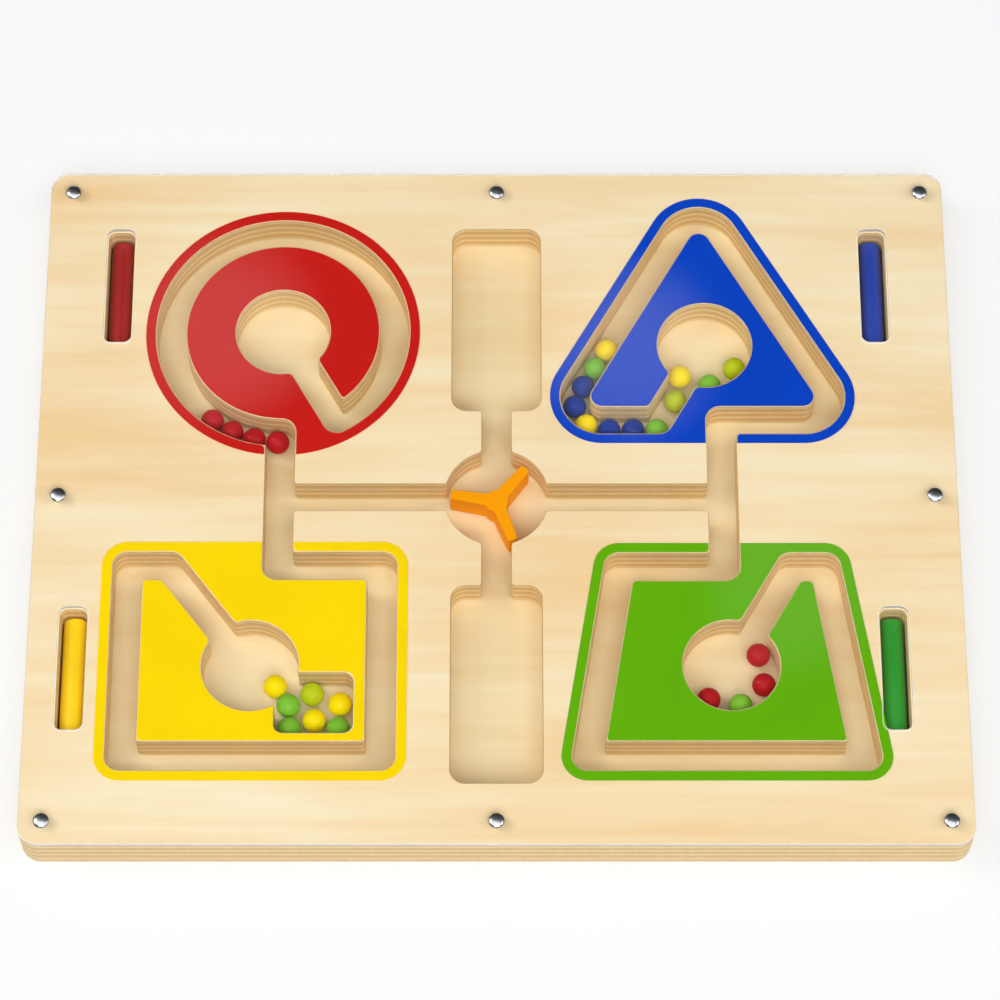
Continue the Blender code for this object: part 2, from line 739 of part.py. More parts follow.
def make_wands():
    """Each wand lies along Y in its slot, and its magnet faces the board's lower edge."""
    for colour, place in wand_places().items():
        paint = material(f"{colour}_wand_paint", WAND_PAINTS[colour], 0.25)
        metal = material(f"{colour}_magnet_metal", MAGNET_METAL, 0.3, 1.0)
        name = f"{colour}_wand"
        wand = add_object(name, wand_mesh(name), paint, location=(*place, WAND_Z))
        wand.rotation_euler.x = -pi / 2
        name = f"{colour}_wand_magnet"
        add_object(name, magnet_mesh(name), metal, parent=wand)


# The balls


def make_ball(name, colour, place, pivot=None):
    mesh = bmesh.new()
    bmesh.ops.create_uvsphere(mesh, u_segments=BALL_SEGMENTS, v_segments=BALL_RINGS, radius=BALL_RADIUS)
    paint = material(f"{name}_paint", BALL_PAINTS[colour], 0.15)
    offset = Vector(place) - pivot.location.xy if pivot else Vector(place)
    add_object(name, finished_mesh(name, mesh), paint, location=(*offset, BALL_Z), parent=pivot)


def touching_angle(radius):
    """The angle, in degrees, between two neighbouring balls on a circle of this radius."""
    return 2 * asin(BALL_PITCH / 2 / radius) * 180 / pi


def row_places(path, count):
    """Places along a path from its first point, each one ball pitch from the last."""
    places = [path[0]]
    for before, after in zip(path, path[1:]):
        steps = ceil((after - before).length / ROW_STEP)
        for i in range(1, steps + 1):
            point = before.lerp(after, i / steps)
            if len(places) < count and (point - places[-1]).length >= BALL_PITCH:
                places.append(point)
    return places


def orbit_places(hole, start, direction, count):
    """Places on the circle that a ball follows as it rolls round the wall of a hole."""
    radius = HOLE_RADIUS - BALL_RADIUS - ORBIT_ROOM
    step = touching_angle(radius) * ORBIT_SPREAD_SHARE * direction
    return [on_circle(hole, radius, start + step * i) for i in range(count)]


def pile_places():
    return [PILE_CENTRE + Vector(shares) * BALL_PITCH for shares in PILE_PLACE_SHARES]


def make_circle_balls():
    """Four red balls in a row, on the ring just past the lane."""
    pivot = add_pivot("circle_pivot", circle_centre())
    step = touching_angle(CIRCLE_TRACK_RADIUS)
    for i, colour in enumerate(CIRCLE_ROW_COLOURS):
        place = on_circle(circle_centre(), CIRCLE_TRACK_RADIUS, CIRCLE_ROW_ANGLE - step * i)
        make_ball(f"circle_ball_{i + 1}", colour, place, pivot)


def make_triangle_balls():
    """A row from the spoke's foot round the left corner, one ball on the spoke, and three in the hole."""
    foot = spoke_foot(TRIANGLE_HOLE, TRIANGLE_SPOKE_ANGLE, TRIANGLE_BASE_Y)
    _, top, left = triangle_track()
    path = rounded([(*foot, 0), left, top], closed=False)
    places = row_places(path, len(TRIANGLE_ROW_COLOURS))
    for i, (colour, place) in enumerate(zip(TRIANGLE_ROW_COLOURS, places)):
        make_ball(f"triangle_row_ball_{i + 1}", colour, place)
    make_ball("triangle_spoke_ball", TRIANGLE_SPOKE_COLOUR, foot.lerp(TRIANGLE_HOLE, SPOKE_BALL_SHARE))
    pivot = add_pivot("triangle_hole_pivot", TRIANGLE_HOLE)
    places = orbit_places(TRIANGLE_HOLE, TRIANGLE_ORBIT_ANGLE, 1, len(TRIANGLE_ORBIT_COLOURS))
    for i, (colour, place) in enumerate(zip(TRIANGLE_ORBIT_COLOURS, places)):
        make_ball(f"triangle_hole_ball_{i + 1}", colour, place, pivot)


def make_square_balls():
    for i, (colour, place) in enumerate(zip(PILE_COLOURS, pile_places())):
        make_ball(f"square_ball_{i + 1}", colour, place)


def make_trapezoid_balls():
    pivot = add_pivot("trapezoid_hole_pivot", TRAPEZOID_HOLE)
    places = orbit_places(TRAPEZOID_HOLE, TRAPEZOID_ORBIT_ANGLE, -1, len(TRAPEZOID_ORBIT_COLOURS))
    for i, (colour, place) in enumerate(zip(TRAPEZOID_ORBIT_COLOURS, places)):
        make_ball(f"trapezoid_ball_{i + 1}", colour, place, pivot)


def main():
    clear_scene()
    lanes = maze_outline()
    slots = [rounded(slot_corners(place)) for place in wand_places().values()]
    make_base_board()
    make_maze_layer(lanes, slots)
    make_painted_faces()
    make_cover()
    make_cover_screws()
    make_spinner()
    make_spinner_pin()
    make_wands()
    make_circle_balls()
    make_triangle_balls()
    make_square_balls()
    make_trapezoid_balls()


main()
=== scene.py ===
# %% [markdown]
# # A magnetic maze board
# A child pulls small steel balls along routed lanes with a magnet on a stick. The board is a sandwich:
# a thin backing, a thick plywood layer with the lanes cut right through it, four painted faces and a
# clear sheet that keeps the balls in. The construction comes as a fixed frame of plain solids. This
# lesson gives every piece its finish: rounded edges, wood grain, paint, clear sheet and plated steel.

# %% Load the frame
import cmath
import json
from math import asin, ceil, cos, floor, pi, radians, sin, sqrt, tan
from random import Random

import bmesh
import bpy
from mathutils import Euler, Matrix, Vector
from mathutils.geometry import delaunay_2d_cdt


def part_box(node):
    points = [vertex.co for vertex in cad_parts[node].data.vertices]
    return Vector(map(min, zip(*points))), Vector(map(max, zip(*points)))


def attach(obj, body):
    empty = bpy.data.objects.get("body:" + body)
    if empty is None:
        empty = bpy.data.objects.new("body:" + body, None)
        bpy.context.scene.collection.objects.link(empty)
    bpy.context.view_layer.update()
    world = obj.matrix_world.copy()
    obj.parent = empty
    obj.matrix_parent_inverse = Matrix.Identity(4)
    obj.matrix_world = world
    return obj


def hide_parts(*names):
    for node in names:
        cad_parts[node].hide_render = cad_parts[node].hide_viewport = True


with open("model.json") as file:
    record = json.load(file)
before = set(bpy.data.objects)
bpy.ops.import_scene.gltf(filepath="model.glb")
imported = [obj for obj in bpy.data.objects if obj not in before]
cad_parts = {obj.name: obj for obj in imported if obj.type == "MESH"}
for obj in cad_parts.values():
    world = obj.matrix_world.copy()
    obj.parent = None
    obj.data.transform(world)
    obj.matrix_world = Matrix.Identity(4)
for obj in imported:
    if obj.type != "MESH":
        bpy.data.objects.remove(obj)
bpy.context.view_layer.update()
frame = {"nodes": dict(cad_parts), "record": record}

MM = 0.001
nodes, record = frame["nodes"], frame["record"]
body_of_node = {node: body for body, members in record["behaviour"]["bodies"].items() for node in members}
slot_of_node = {row["node"]: row["material_slot"] for row in record["subparts"]}
scene = bpy.context.scene

# %% [markdown]
# ## The camera
# The board was seen from its near edge, 25 degrees off straight down, through a long lens about a metre
# and a half away. A long lens keeps the lanes nearly parallel. The camera comes first, because it decides
# how fine every edge has to be: one millimetre of board is about two and a half pixels wide.

# %% Camera
VIEW_TILT = radians(25)
PICTURE_SIZE = 1000
PIXELS_PER_METRE = 2460
FOCAL_PIXELS = 3900
BOARD_MIDDLE_PIXEL = (496.5, 498)
SENSOR_WIDTH = 36

view_distance = FOCAL_PIXELS / PIXELS_PER_METRE
sight_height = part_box("maze_layer")[1].z
camera = bpy.data.objects.new("camera", bpy.data.cameras.new("camera"))
camera.location = (0, -view_distance * sin(VIEW_TILT), view_distance * cos(VIEW_TILT) + sight_height)
camera.rotation_euler.x = VIEW_TILT
camera.data.sensor_width = SENSOR_WIDTH
camera.data.lens = SENSOR_WIDTH * FOCAL_PIXELS / PICTURE_SIZE
camera.data.shift_x = 0.5 - BOARD_MIDDLE_PIXEL[0] / PICTURE_SIZE
camera.data.shift_y = BOARD_MIDDLE_PIXEL[1] / PICTURE_SIZE - 0.5
scene.collection.objects.link(camera)
scene.camera = camera
print("camera distance in mm:", round(view_distance / MM), "lens in mm:", round(camera.data.lens, 1))

# %% [markdown]
# ## Small tools for materials
# A material is a little network of nodes. Written out one call at a time it fills pages, so a few helpers
# keep it readable. They add a node and fill its inputs, do one step of arithmetic, mix two colours, make
# noise and stretch a range of values. Colours are written as a paint chip would give them, 0 to 255, and
# turned into the linear light that the renderer works in.

# %% Node helpers
CHIP_WHITE = 255
CURVE_LIFT = 0.055
CURVE_POWER = 2.4
CURVE_START = 0.04045
START_SLOPE = 12.92
NOISE_MIDDLE = 0.5


def linear_share(share):
    """Undoes the usual screen curve, which is straight in the darkest tones."""
    if share > CURVE_START:
        return ((share + CURVE_LIFT) / (1 + CURVE_LIFT)) ** CURVE_POWER
    return share / START_SLOPE


def chip(red, green, blue):
    """The linear colour of a paint chip."""
    return (*[linear_share(value / CHIP_WHITE) for value in (red, green, blue)], 1)


def add_node(tree, kind, inputs=(), **settings):
    """Adds a shader node, sets its options, and fills its inputs with values or links."""
    made = tree.nodes.new("ShaderNode" + kind)
    for name, value in settings.items():
        setattr(made, name, value)
    for name, value in dict(inputs).items():
        if isinstance(value, bpy.types.NodeSocket):
            tree.links.new(value, made.inputs[name])
        else:
            made.inputs[name].default_value = value
    return made


def calc(tree, operation, *values):
    """One step of arithmetic on numbers or links."""
    return add_node(tree, "Math", enumerate(values), operation=operation).outputs[0]


def mix_colours(tree, factor, one, other):
    """Goes from one colour to the other as the factor goes from 0 to 1."""
    inputs = {0: factor, 6: one, 7: other}
    return add_node(tree, "Mix", inputs, data_type="RGBA").outputs[2]


def noise(tree, vector, stretch, detail=3.0, roughness=0.5, wander=0.0):
    """Noise whose grains have their own size along each axis, in cycles per metre."""
    scaled = add_node(tree, "VectorMath", {0: vector, 1: stretch}, operation="MULTIPLY").outputs[0]
    grain = {"Detail": detail, "Roughness": roughness, "Distortion": wander}
    return add_node(tree, "TexNoise", {"Vector": scaled, "Scale": 1.0, **grain}).outputs["Fac"]


def remap(tree, value, low, high, to_low=0.0, to_high=1.0, kind="LINEAR"):
    """Stretches a range of values over another and stops at its ends."""
    inputs = {"Value": value, "From Min": low, "From Max": high, "To Min": to_low, "To Max": to_high}
    return add_node(tree, "MapRange", inputs, interpolation_type=kind).outputs["Result"]


print("helpers ready, mid grey is", round(chip(128, 128, 128)[0], 3))

# %% [markdown]
# ## Effects as node groups
# Some effects show on more than one material, so each is built once as a group and placed wherever it is
# needed with other values. A group hands out colours and numbers only. The shader itself stays in
# each material, where its plain settings can be read at a glance.

# %% Group helpers
FLOAT, COLOUR, VECTOR = "NodeSocketFloat", "NodeSocketColor", "NodeSocketVector"


def new_group(name, inputs, outputs):
    """An empty group with named sockets. Returns it with its input and output nodes."""
    group = bpy.data.node_groups.new(name, "ShaderNodeTree")
    for side, sockets in (("INPUT", inputs), ("OUTPUT", outputs)):
        for socket, kind in sockets.items():
            group.interface.new_socket(name=socket, in_out=side, socket_type=kind)
    return group, group.nodes.new("NodeGroupInput").outputs, group.nodes.new("NodeGroupOutput").inputs


def place_group(tree, group, inputs):
    """Places a group in a material and returns its outputs."""
    return add_node(tree, "Group", inputs, node_tree=group).outputs


print("a group has sockets of", FLOAT, COLOUR, VECTOR)

# %% [markdown]
# ### Birch face grain
# Rotary-cut birch veneer is quiet: long faint streaks along the grain, broad soft clouds where the fibres
# tilt, and short dark pores as thin as a hair. Three noises do this, each stretched along X, the way the
# grain runs on this board. Plain stripes would look printed, so the streaks wander a little.

# %% Birch grain group
STREAK_STRETCH = (7, 95, 7)
CLOUD_STRETCH = (5, 17, 5)
PORE_STRETCH = (170, 2100, 170)
STREAK_RANGE = (0.3, 0.75)
CLOUD_RANGE = (0.3, 0.7)
PORE_RANGE = (0.6, 0.74)
STREAK_SHARE = 0.55
CLOUD_SHARE = 0.6
PORE_SHARE = 0.1
PORE_RELIEF = -0.5

sockets = {"Vector": VECTOR, "Pale": COLOUR, "Deep": COLOUR, "Figure": FLOAT}
birch_grain, given, put = new_group("birch_grain", sockets, {"Color": COLOUR, "Height": FLOAT})
streaks = noise(birch_grain, given["Vector"], STREAK_STRETCH, detail=5.0, roughness=0.6, wander=0.5)
clouds = noise(birch_grain, given["Vector"], CLOUD_STRETCH, detail=2.0, wander=0.3)
pores = remap(birch_grain, noise(birch_grain, given["Vector"], PORE_STRETCH, detail=2.0), *PORE_RANGE)
streak_tone = remap(birch_grain, streaks, *STREAK_RANGE, to_high=STREAK_SHARE)
cloud_tone = remap(birch_grain, clouds, *CLOUD_RANGE, to_high=CLOUD_SHARE)
figure = calc(birch_grain, "MULTIPLY", calc(birch_grain, "ADD", streak_tone, cloud_tone), given["Figure"])
dotted = calc(birch_grain, "MULTIPLY_ADD", pores, PORE_SHARE, figure)
birch_grain.links.new(mix_colours(birch_grain, dotted, given["Pale"], given["Deep"]), put["Color"])
birch_grain.links.new(calc(birch_grain, "MULTIPLY_ADD", pores, PORE_RELIEF, streaks), put["Height"])
print("birch grain:", len(birch_grain.nodes), "nodes")

# %% [markdown]
# ### Plywood edges
# Where the router cuts through, the plies show as bands of even height. The outer plies are pale. Every
# second ply is turned, so it shows its end grain, which drinks light and looks darker. A thin glue line
# parts them. The bands are worked out from the height above the bottom of the sheet, so they run level
# round every wall.

# %% Ply edge group
GLUE_SHARE = 0.12
FIBRE_STRETCH = (60, 60, 2600)
END_GRAIN_STRETCH = (900, 900, 900)
SAW_STRETCH = (500, 500, 30)
WAVE_STRETCH = (40, 40, 40)
WAVE_SHARE = 0.16
FIBRE_SHARE = 0.7
END_GRAIN_SHARE = 0.5
SAW_SHARE = 0.4
GLUE_RELIEF = -0.4
MARK_RANGE = (0.3, 0.7)
GLUE_STRENGTHS = (0.35, 0.9)
TONE_RANGE = (-0.15, 1.15)

sockets = {"Vector": VECTOR, "Pale": COLOUR, "Deep": COLOUR, "Glue": COLOUR, "Bottom": FLOAT, "Ply": FLOAT}
ply_edge, given, put = new_group("ply_edge", sockets, {"Color": COLOUR, "Height": FLOAT})
height = add_node(ply_edge, "SeparateXYZ", {0: given["Vector"]}).outputs["Z"]
level = calc(ply_edge, "DIVIDE", calc(ply_edge, "SUBTRACT", height, given["Bottom"]), given["Ply"])
level = calc(ply_edge, "MULTIPLY_ADD", noise(ply_edge, given["Vector"], WAVE_STRETCH), WAVE_SHARE, level)
turned_ply = calc(ply_edge, "MODULO", calc(ply_edge, "FLOOR", level), 2.0)
within = calc(ply_edge, "FRACT", level)
to_glue = calc(ply_edge, "MINIMUM", within, calc(ply_edge, "SUBTRACT", 1.0, within))
glue = remap(ply_edge, to_glue, 0.0, GLUE_SHARE, to_low=1.0, to_high=0.0)
fibres = noise(ply_edge, given["Vector"], FIBRE_STRETCH, detail=4.0)
end_grain = noise(ply_edge, given["Vector"], END_GRAIN_STRETCH)
marks = noise(ply_edge, given["Vector"], SAW_STRETCH, detail=2.0)
tone = turned_ply
for grains, grain_share in ((fibres, FIBRE_SHARE), (end_grain, END_GRAIN_SHARE)):
    about_nought = calc(ply_edge, "SUBTRACT", grains, NOISE_MIDDLE)
    tone = calc(ply_edge, "MULTIPLY_ADD", about_nought, grain_share, tone)
tone = remap(ply_edge, tone, *TONE_RANGE)
wood = mix_colours(ply_edge, tone, given["Pale"], given["Deep"])
glued = calc(ply_edge, "MULTIPLY", glue, remap(ply_edge, marks, *MARK_RANGE, *GLUE_STRENGTHS))
ply_edge.links.new(mix_colours(ply_edge, glued, wood, given["Glue"]), put["Color"])
rough = calc(ply_edge, "MULTIPLY_ADD", fibres, 1 - SAW_SHARE, calc(ply_edge, "MULTIPLY", marks, SAW_SHARE))
ply_edge.links.new(calc(ply_edge, "MULTIPLY_ADD", glue, GLUE_RELIEF, rough), put["Height"])
print("ply edge:", len(ply_edge.nodes), "nodes")

# %% [markdown]
# ### Paint film
# Sprayed paint is never one flat colour. It pools a little here and thins there, and its skin has the fine
# dimples of orange peel. The group scales the colour by a few per cent in soft clouds and gives the dimples
# as a height for a bump.

# %% Paint film group
PEEL_STRETCH = (700, 700, 700)
POOL_STRETCH = (26, 26, 26)

sockets = {"Vector": VECTOR, "Paint": COLOUR, "Unevenness": FLOAT}
paint_film, given, put = new_group("paint_film", sockets, {"Color": COLOUR, "Height": FLOAT})
clouds = noise(paint_film, given["Vector"], POOL_STRETCH, detail=4.0, roughness=0.55, wander=0.6)
pools = calc(paint_film, "SUBTRACT", clouds, NOISE_MIDDLE)
strength = calc(paint_film, "MULTIPLY_ADD", pools, given["Unevenness"], 1.0)
shaded = add_node(paint_film, "VectorMath", {0: given["Paint"], "Scale": strength}, operation="SCALE")
paint_film.links.new(shaded.outputs[0], put["Color"])
paint_film.links.new(noise(paint_film, given["Vector"], PEEL_STRETCH, detail=2.0), put["Height"])
print("paint film:", len(paint_film.nodes), "nodes")

# %% [markdown]
# ### Handling
# Fingers polish some places and leave others dull. The group shifts a material's roughness up and down in
# smudges of a centimetre or two, with finer streaks inside them.

# %% Handling group
SMUDGE_STRETCH = (55, 55, 55)
WIPE_STRETCH = (30, 420, 120)
WIPE_SHARE = 0.4

sockets = {"Vector": VECTOR, "Roughness": FLOAT, "Spread": FLOAT}
handling, given, put = new_group("handling", sockets, {"Roughness": FLOAT})
smudges = noise(handling, given["Vector"], SMUDGE_STRETCH, detail=4.0, roughness=0.6, wander=0.8)
wipes = noise(handling, given["Vector"], WIPE_STRETCH, detail=2.0)
both = calc(handling, "MULTIPLY_ADD", wipes, WIPE_SHARE, smudges)
both = calc(handling, "SUBTRACT", both, (1 + WIPE_SHARE) * NOISE_MIDDLE)
worn = calc(handling, "MULTIPLY_ADD", both, given["Spread"], given["Roughness"])
handling.links.new(worn, put["Roughness"])
print("handling:", len(handling.nodes), "nodes")

# %% [markdown]
# ## Materials
# Each material holds one Principled shader. What changes over the surface reaches it by a link, from a
# group or a noise, and what is the same all over is set on its own socket.

# %% Material helpers


def new_material(name):
    """A material with its shader and the object's own coordinates."""
    finish = bpy.data.materials.new(name)
    finish.use_nodes = True
    tree = finish.node_tree
    place = add_node(tree, "TexCoord").outputs["Object"]
    return finish, tree, tree.nodes["Principled BSDF"], place


def set_plain(shader, **values):
    """Sets plain values on the shader's own sockets, named with underscores."""
    for name, value in values.items():
        shader.inputs[name.replace("_", " ")].default_value = value


def add_bump(tree, shader, height, depth, strength):
    """Feeds a height into the shader's normal as a bump of a real depth."""
    inputs = {"Height": height, "Distance": depth, "Strength": strength}
    tree.links.new(add_node(tree, "Bump", inputs).outputs["Normal"], shader.inputs["Normal"])


def add_handling(tree, shader, place, roughness, spread):
    """Feeds the shader's roughness from the handling group."""
    worn = place_group(tree, handling, {"Vector": place, "Roughness": roughness, "Spread": spread})
    tree.links.new(worn["Roughness"], shader.inputs["Roughness"])


print("material helpers ready")

# %% [markdown]
# ### Wood
# The face of the maze layer is pale lacquered birch. Its cut edges show the plies. The backing board is the
# same birch with less sanding. Its deeper, more amber colour is partly painted shade and bounced light of
# the lane floors, and it lies in shade at the bottom of the lanes.

# %% Wood materials
BIRCH_PALE = chip(255, 246, 216)
BIRCH_DEEP = chip(246, 213, 160)
# Deeper and more amber than the face: partly painted shade and bounced light of the lane floors.
BACKING_PALE = chip(248, 237, 202)
BACKING_DEEP = chip(230, 200, 142)
EDGE_PALE = chip(246, 224, 176)
EDGE_DEEP = chip(226, 190, 132)
GLUE_BROWN = chip(172, 134, 86)
MAZE_PLIES = 7
BACKING_PLIES = 3
GRAIN_RELIEF = 0.06 * MM
EDGE_RELIEF = 0.12 * MM
FACE_GLOSS = 0.35
EDGE_GLOSS = 0.25


def birch_face(name, pale, deep, figure, roughness):
    finish, tree, shader, place = new_material(name)
    grain = place_group(tree, birch_grain, {"Vector": place, "Pale": pale, "Deep": deep, "Figure": figure})
    tree.links.new(grain["Color"], shader.inputs["Base Color"])
    add_handling(tree, shader, place, roughness, spread=0.18)
    add_bump(tree, shader, grain["Height"], GRAIN_RELIEF, strength=0.5)
    set_plain(shader, Specular_IOR_Level=FACE_GLOSS)
    return finish


def plywood_edge(name, node, plies):
    low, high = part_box(node)
    finish, tree, shader, place = new_material(name)
    colours = {"Pale": EDGE_PALE, "Deep": EDGE_DEEP, "Glue": GLUE_BROWN}
    heights = {"Bottom": low.z, "Ply": (high.z - low.z) / plies}
    bands = place_group(tree, ply_edge, {"Vector": place, **heights, **colours})
    tree.links.new(bands["Color"], shader.inputs["Base Color"])
    add_handling(tree, shader, place, roughness=0.68, spread=0.15)
    add_bump(tree, shader, bands["Height"], EDGE_RELIEF, strength=0.6)
    set_plain(shader, Specular_IOR_Level=EDGE_GLOSS)
    return finish


maze_face = birch_face("birch_maze_face", BIRCH_PALE, BIRCH_DEEP, figure=1.1, roughness=0.48)
maze_edge = plywood_edge("birch_maze_edge", "maze_layer", MAZE_PLIES)
backing_face = birch_face("birch_backing_face", BACKING_PALE, BACKING_DEEP, figure=0.7, roughness=0.58)
backing_edge = plywood_edge("birch_backing_edge", "base_board", BACKING_PLIES)
print("wood materials:", maze_face.name, maze_edge.name, backing_face.name, backing_edge.name)

# %% [markdown]
# ### Paint
# The four faces and the spinner carry a satin film that hardly shines. The balls have a thin gloss coat
# and the wands, which are held in the hand, a fuller one. A coat shows as a second, sharper highlight over
# the colour. Each kind of piece has its own look, and each slot of the record its own colour.

# %% Paint materials
PAINT_CHIPS = {
    "red_paint": chip(202, 28, 22),
    "blue_paint": chip(4, 68, 202),
    "yellow_paint": chip(255, 222, 2),
    "green_paint": chip(98, 178, 8),
    "orange_paint": chip(255, 164, 2),
    "red_wand_paint": chip(166, 34, 38),
    "blue_wand_paint": chip(40, 72, 178),
    "yellow_wand_paint": chip(255, 218, 20),
    "green_wand_paint": chip(44, 156, 50),
    "red_ball_paint": chip(184, 26, 34),
    "blue_ball_paint": chip(2, 50, 156),
    "yellow_ball_paint": chip(255, 230, 4),
    "green_ball_paint": chip(128, 198, 58),
    "lime_ball_paint": chip(190, 208, 30),
}
LOOKS = {
    "_wand_paint": {"unevenness": 0.3, "roughness": 0.34, "gloss": 0.5, "coat": 0.35, "peel": 0.03 * MM},
    "_ball_paint": {"unevenness": 0.3, "roughness": 0.4, "gloss": 0.02, "coat": 0.18, "peel": 0.03 * MM},
    "orange_paint": {"unevenness": 0.12, "roughness": 0.46, "gloss": 0.04, "coat": 0.0, "peel": 0.03 * MM},
    "_paint": {"unevenness": 0.16, "roughness": 0.5, "gloss": 0.02, "coat": 0.0, "peel": 0.02 * MM},
}
COAT_ROUGHNESS = 0.1


def painted(name, colour, unevenness, roughness, gloss, coat, peel):
    finish, tree, shader, place = new_material(name)
    film = place_group(tree, paint_film, {"Vector": place, "Paint": colour, "Unevenness": unevenness})
    tree.links.new(film["Color"], shader.inputs["Base Color"])
    add_handling(tree, shader, place, roughness, spread=0.14)
    add_bump(tree, shader, film["Height"], peel, strength=0.5)
    set_plain(shader, Specular_IOR_Level=gloss, Coat_Weight=coat, Coat_Roughness=COAT_ROUGHNESS)
    return finish


def finish_for(slot):
    """The paint for one slot, with the first look whose ending its name has."""
    look = next(look for ending, look in LOOKS.items() if slot.endswith(ending))
    return painted(slot, PAINT_CHIPS[slot], **look)


paints = {slot: finish_for(slot) for slot in PAINT_CHIPS}
print("paints:", ", ".join(paints))

# %% [markdown]
# ### Clear sheet and metal
# Real acrylic lets lamplight straight through, but a path tracer that has to find its way through glass
# makes noisy, dark lanes. So the shader steps aside for the rays that look for lamps and for softly bounced
# light. For the camera and in reflections it works as glass. The sheet's saw-cut edges are satin and let
# less through. Screws are bright zinc and the magnets are nickel.

# %% Clear sheet and metal materials
SHEET_TINT = chip(255, 254, 252)
SHEET_IOR = 1.49
SHEET_WAVES = (16, 16, 16)
SHEET_RELIEF = 0.12 * MM
ZINC = chip(198, 200, 204)
NICKEL = chip(188, 186, 180)
METAL_UNEVENNESS = 0.35
BRUSH_RELIEF = 0.02 * MM


def clear_sheet(name, roughness, clearness):
    finish, tree, shader, place = new_material(name)
    set_plain(shader, Base_Color=SHEET_TINT, Roughness=roughness, IOR=SHEET_IOR)
    set_plain(shader, Transmission_Weight=clearness)
    add_bump(tree, shader, noise(tree, place, SHEET_WAVES, detail=2.0), SHEET_RELIEF, strength=0.25)
    path = add_node(tree, "LightPath").outputs
    through = add_node(tree, "BsdfTransparent", {"Color": SHEET_TINT}).outputs[0]
    sheet = shader.outputs[0]
    for ray in ("Is Diffuse Ray", "Is Shadow Ray"):
        sheet = add_node(tree, "MixShader", {0: path[ray], 1: sheet, 2: through}).outputs[0]
    tree.links.new(sheet, tree.nodes["Material Output"].inputs["Surface"])
    return finish


def metal(name, colour, roughness, brushing):
    finish, tree, shader, place = new_material(name)
    set_plain(shader, Metallic=1.0)
    film = place_group(tree, paint_film, {"Vector": place, "Paint": colour, "Unevenness": METAL_UNEVENNESS})
    tree.links.new(film["Color"], shader.inputs["Base Color"])
    add_handling(tree, shader, place, roughness, spread=0.2)
    add_bump(tree, shader, noise(tree, place, brushing, detail=2.0), BRUSH_RELIEF, strength=0.5)
    return finish


sheet_finish = clear_sheet("polished_sheet", roughness=0.02, clearness=1.0)
sheet_edge = clear_sheet("satin_sheet_edge", roughness=0.5, clearness=0.45)
steel_finish = metal("zinc_steel", ZINC, roughness=0.3, brushing=(900, 900, 5200))
magnet_finish = metal("nickel_magnet", NICKEL, roughness=0.22, brushing=(2400, 2400, 2400))
print("clear sheet and metals:", sheet_finish.name, sheet_edge.name, steel_finish.name, magnet_finish.name)

# %% [markdown]
# ## Flat pieces
# The frame's solids draw their curves with as few straight steps as the size allows. Close up, those steps
# and the knife-sharp edges give a plain model away. Each flat piece is therefore made again from its own
# outline: the outline is read from the solid's upper face, each straight step of a round stretch is bent
# into a short arc, and the sheet is built up as rings whose edges roll over as sandpaper leaves them.

# %% Read a flat solid's outlines
WELD = 0.001 * MM
LEVEL_TOLERANCE = 0.01 * MM
SHORTEST_STEP = 0.03 * MM


def border_of(node):
    """Where each border point of a node's upper face leads, with the material on the left."""
    mesh = nodes[node].data
    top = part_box(node)[1].z
    mesh.calc_loop_triangles()
    edges = set()
    for triangle in mesh.loop_triangles:
        corners = [mesh.vertices[i].co for i in triangle.vertices]
        if min(corner.z for corner in corners) < top - LEVEL_TOLERANCE:
            continue
        spots = [(round(corner.x / WELD), round(corner.y / WELD)) for corner in corners]
        edges.update(zip(spots, spots[1:] + spots[:1]))
    return {a: b for a, b in edges if (b, a) not in edges}


def loops_of(node):
    """The outlines of a flat solid as loops of complex numbers, x real and y imaginary."""
    following = border_of(node)
    loops = []
    while following:
        start = min(following)
        loop, here = [start], following.pop(start)
        while here != start:
            loop.append(here)
            here = following.pop(here)
        loops.append([complex(*spot) * WELD for spot in loop])
    return loops


board_loops = loops_of("maze_layer")
print("the maze layer has", len(board_loops), "outlines with", sum(map(len, board_loops)), "points")

# %% [markdown]
# Complex numbers make plane geometry short. Multiplying by i turns a step a quarter to the left, and the
# phase of one step over another is the angle between them. A step that belongs to a round stretch has a
# neighbour of like length, and turns by the same angle as the corner between the two.

# %% Bend the steps into arcs
LIKE_LENGTHS = 1.5
MOST_BEND = radians(30)
LEAST_BEND = radians(1)
FINE_BEND = radians(4.5)
FINE_STEP = 0.16 * MM


def steps_of(loop):
    return [after - here for here, after in zip(loop, loop[1:] + loop[:1])]


def bends_of(loop):
    """How far each step turns from its start to its end."""
    steps = steps_of(loop)
    turns = []
    for before, step in zip(steps[-1:] + steps[:-1], steps):
        turn = cmath.phase(step / before)
        alike = max(abs(before), abs(step)) < LIKE_LENGTHS * min(abs(before), abs(step))
        turns.append(turn if alike and LEAST_BEND < abs(turn) < MOST_BEND else 0)
    return [max(pair, key=abs) for pair in zip(turns, turns[1:] + turns[:1])]


def rounded_loop(loop):
    """The loop with its round stretches drawn as true arcs."""
    loop = [here for here, step in zip(loop, steps_of(loop)) if abs(step) > SHORTEST_STEP]
    points = []
    for here, step, bend in zip(loop, steps_of(loop), bends_of(loop)):
        pieces = max(1, min(ceil(abs(bend) / FINE_BEND), floor(abs(step) / FINE_STEP)))
        for piece in range(pieces):
            along = piece / pieces
            if bend:
                along = (cmath.exp(1j * bend * along) - 1) / (cmath.exp(1j * bend) - 1)
            points.append(here + step * along)
    return points


print("the first outline goes from", len(board_loops[0]), "to", len(rounded_loop(board_loops[0])), "points")

# %% [markdown]
# Where two paths of the router meet, a corner stands out into the lane, and it gets the hardest wear. In
# the frame such a corner has a tight fillet of a few short steps. It is opened here to a wider curve, from
# a point before the corner to a point after it. The place where the two sides would meet is the handle of
# the curve. Pointed tips are opened less than square corners.

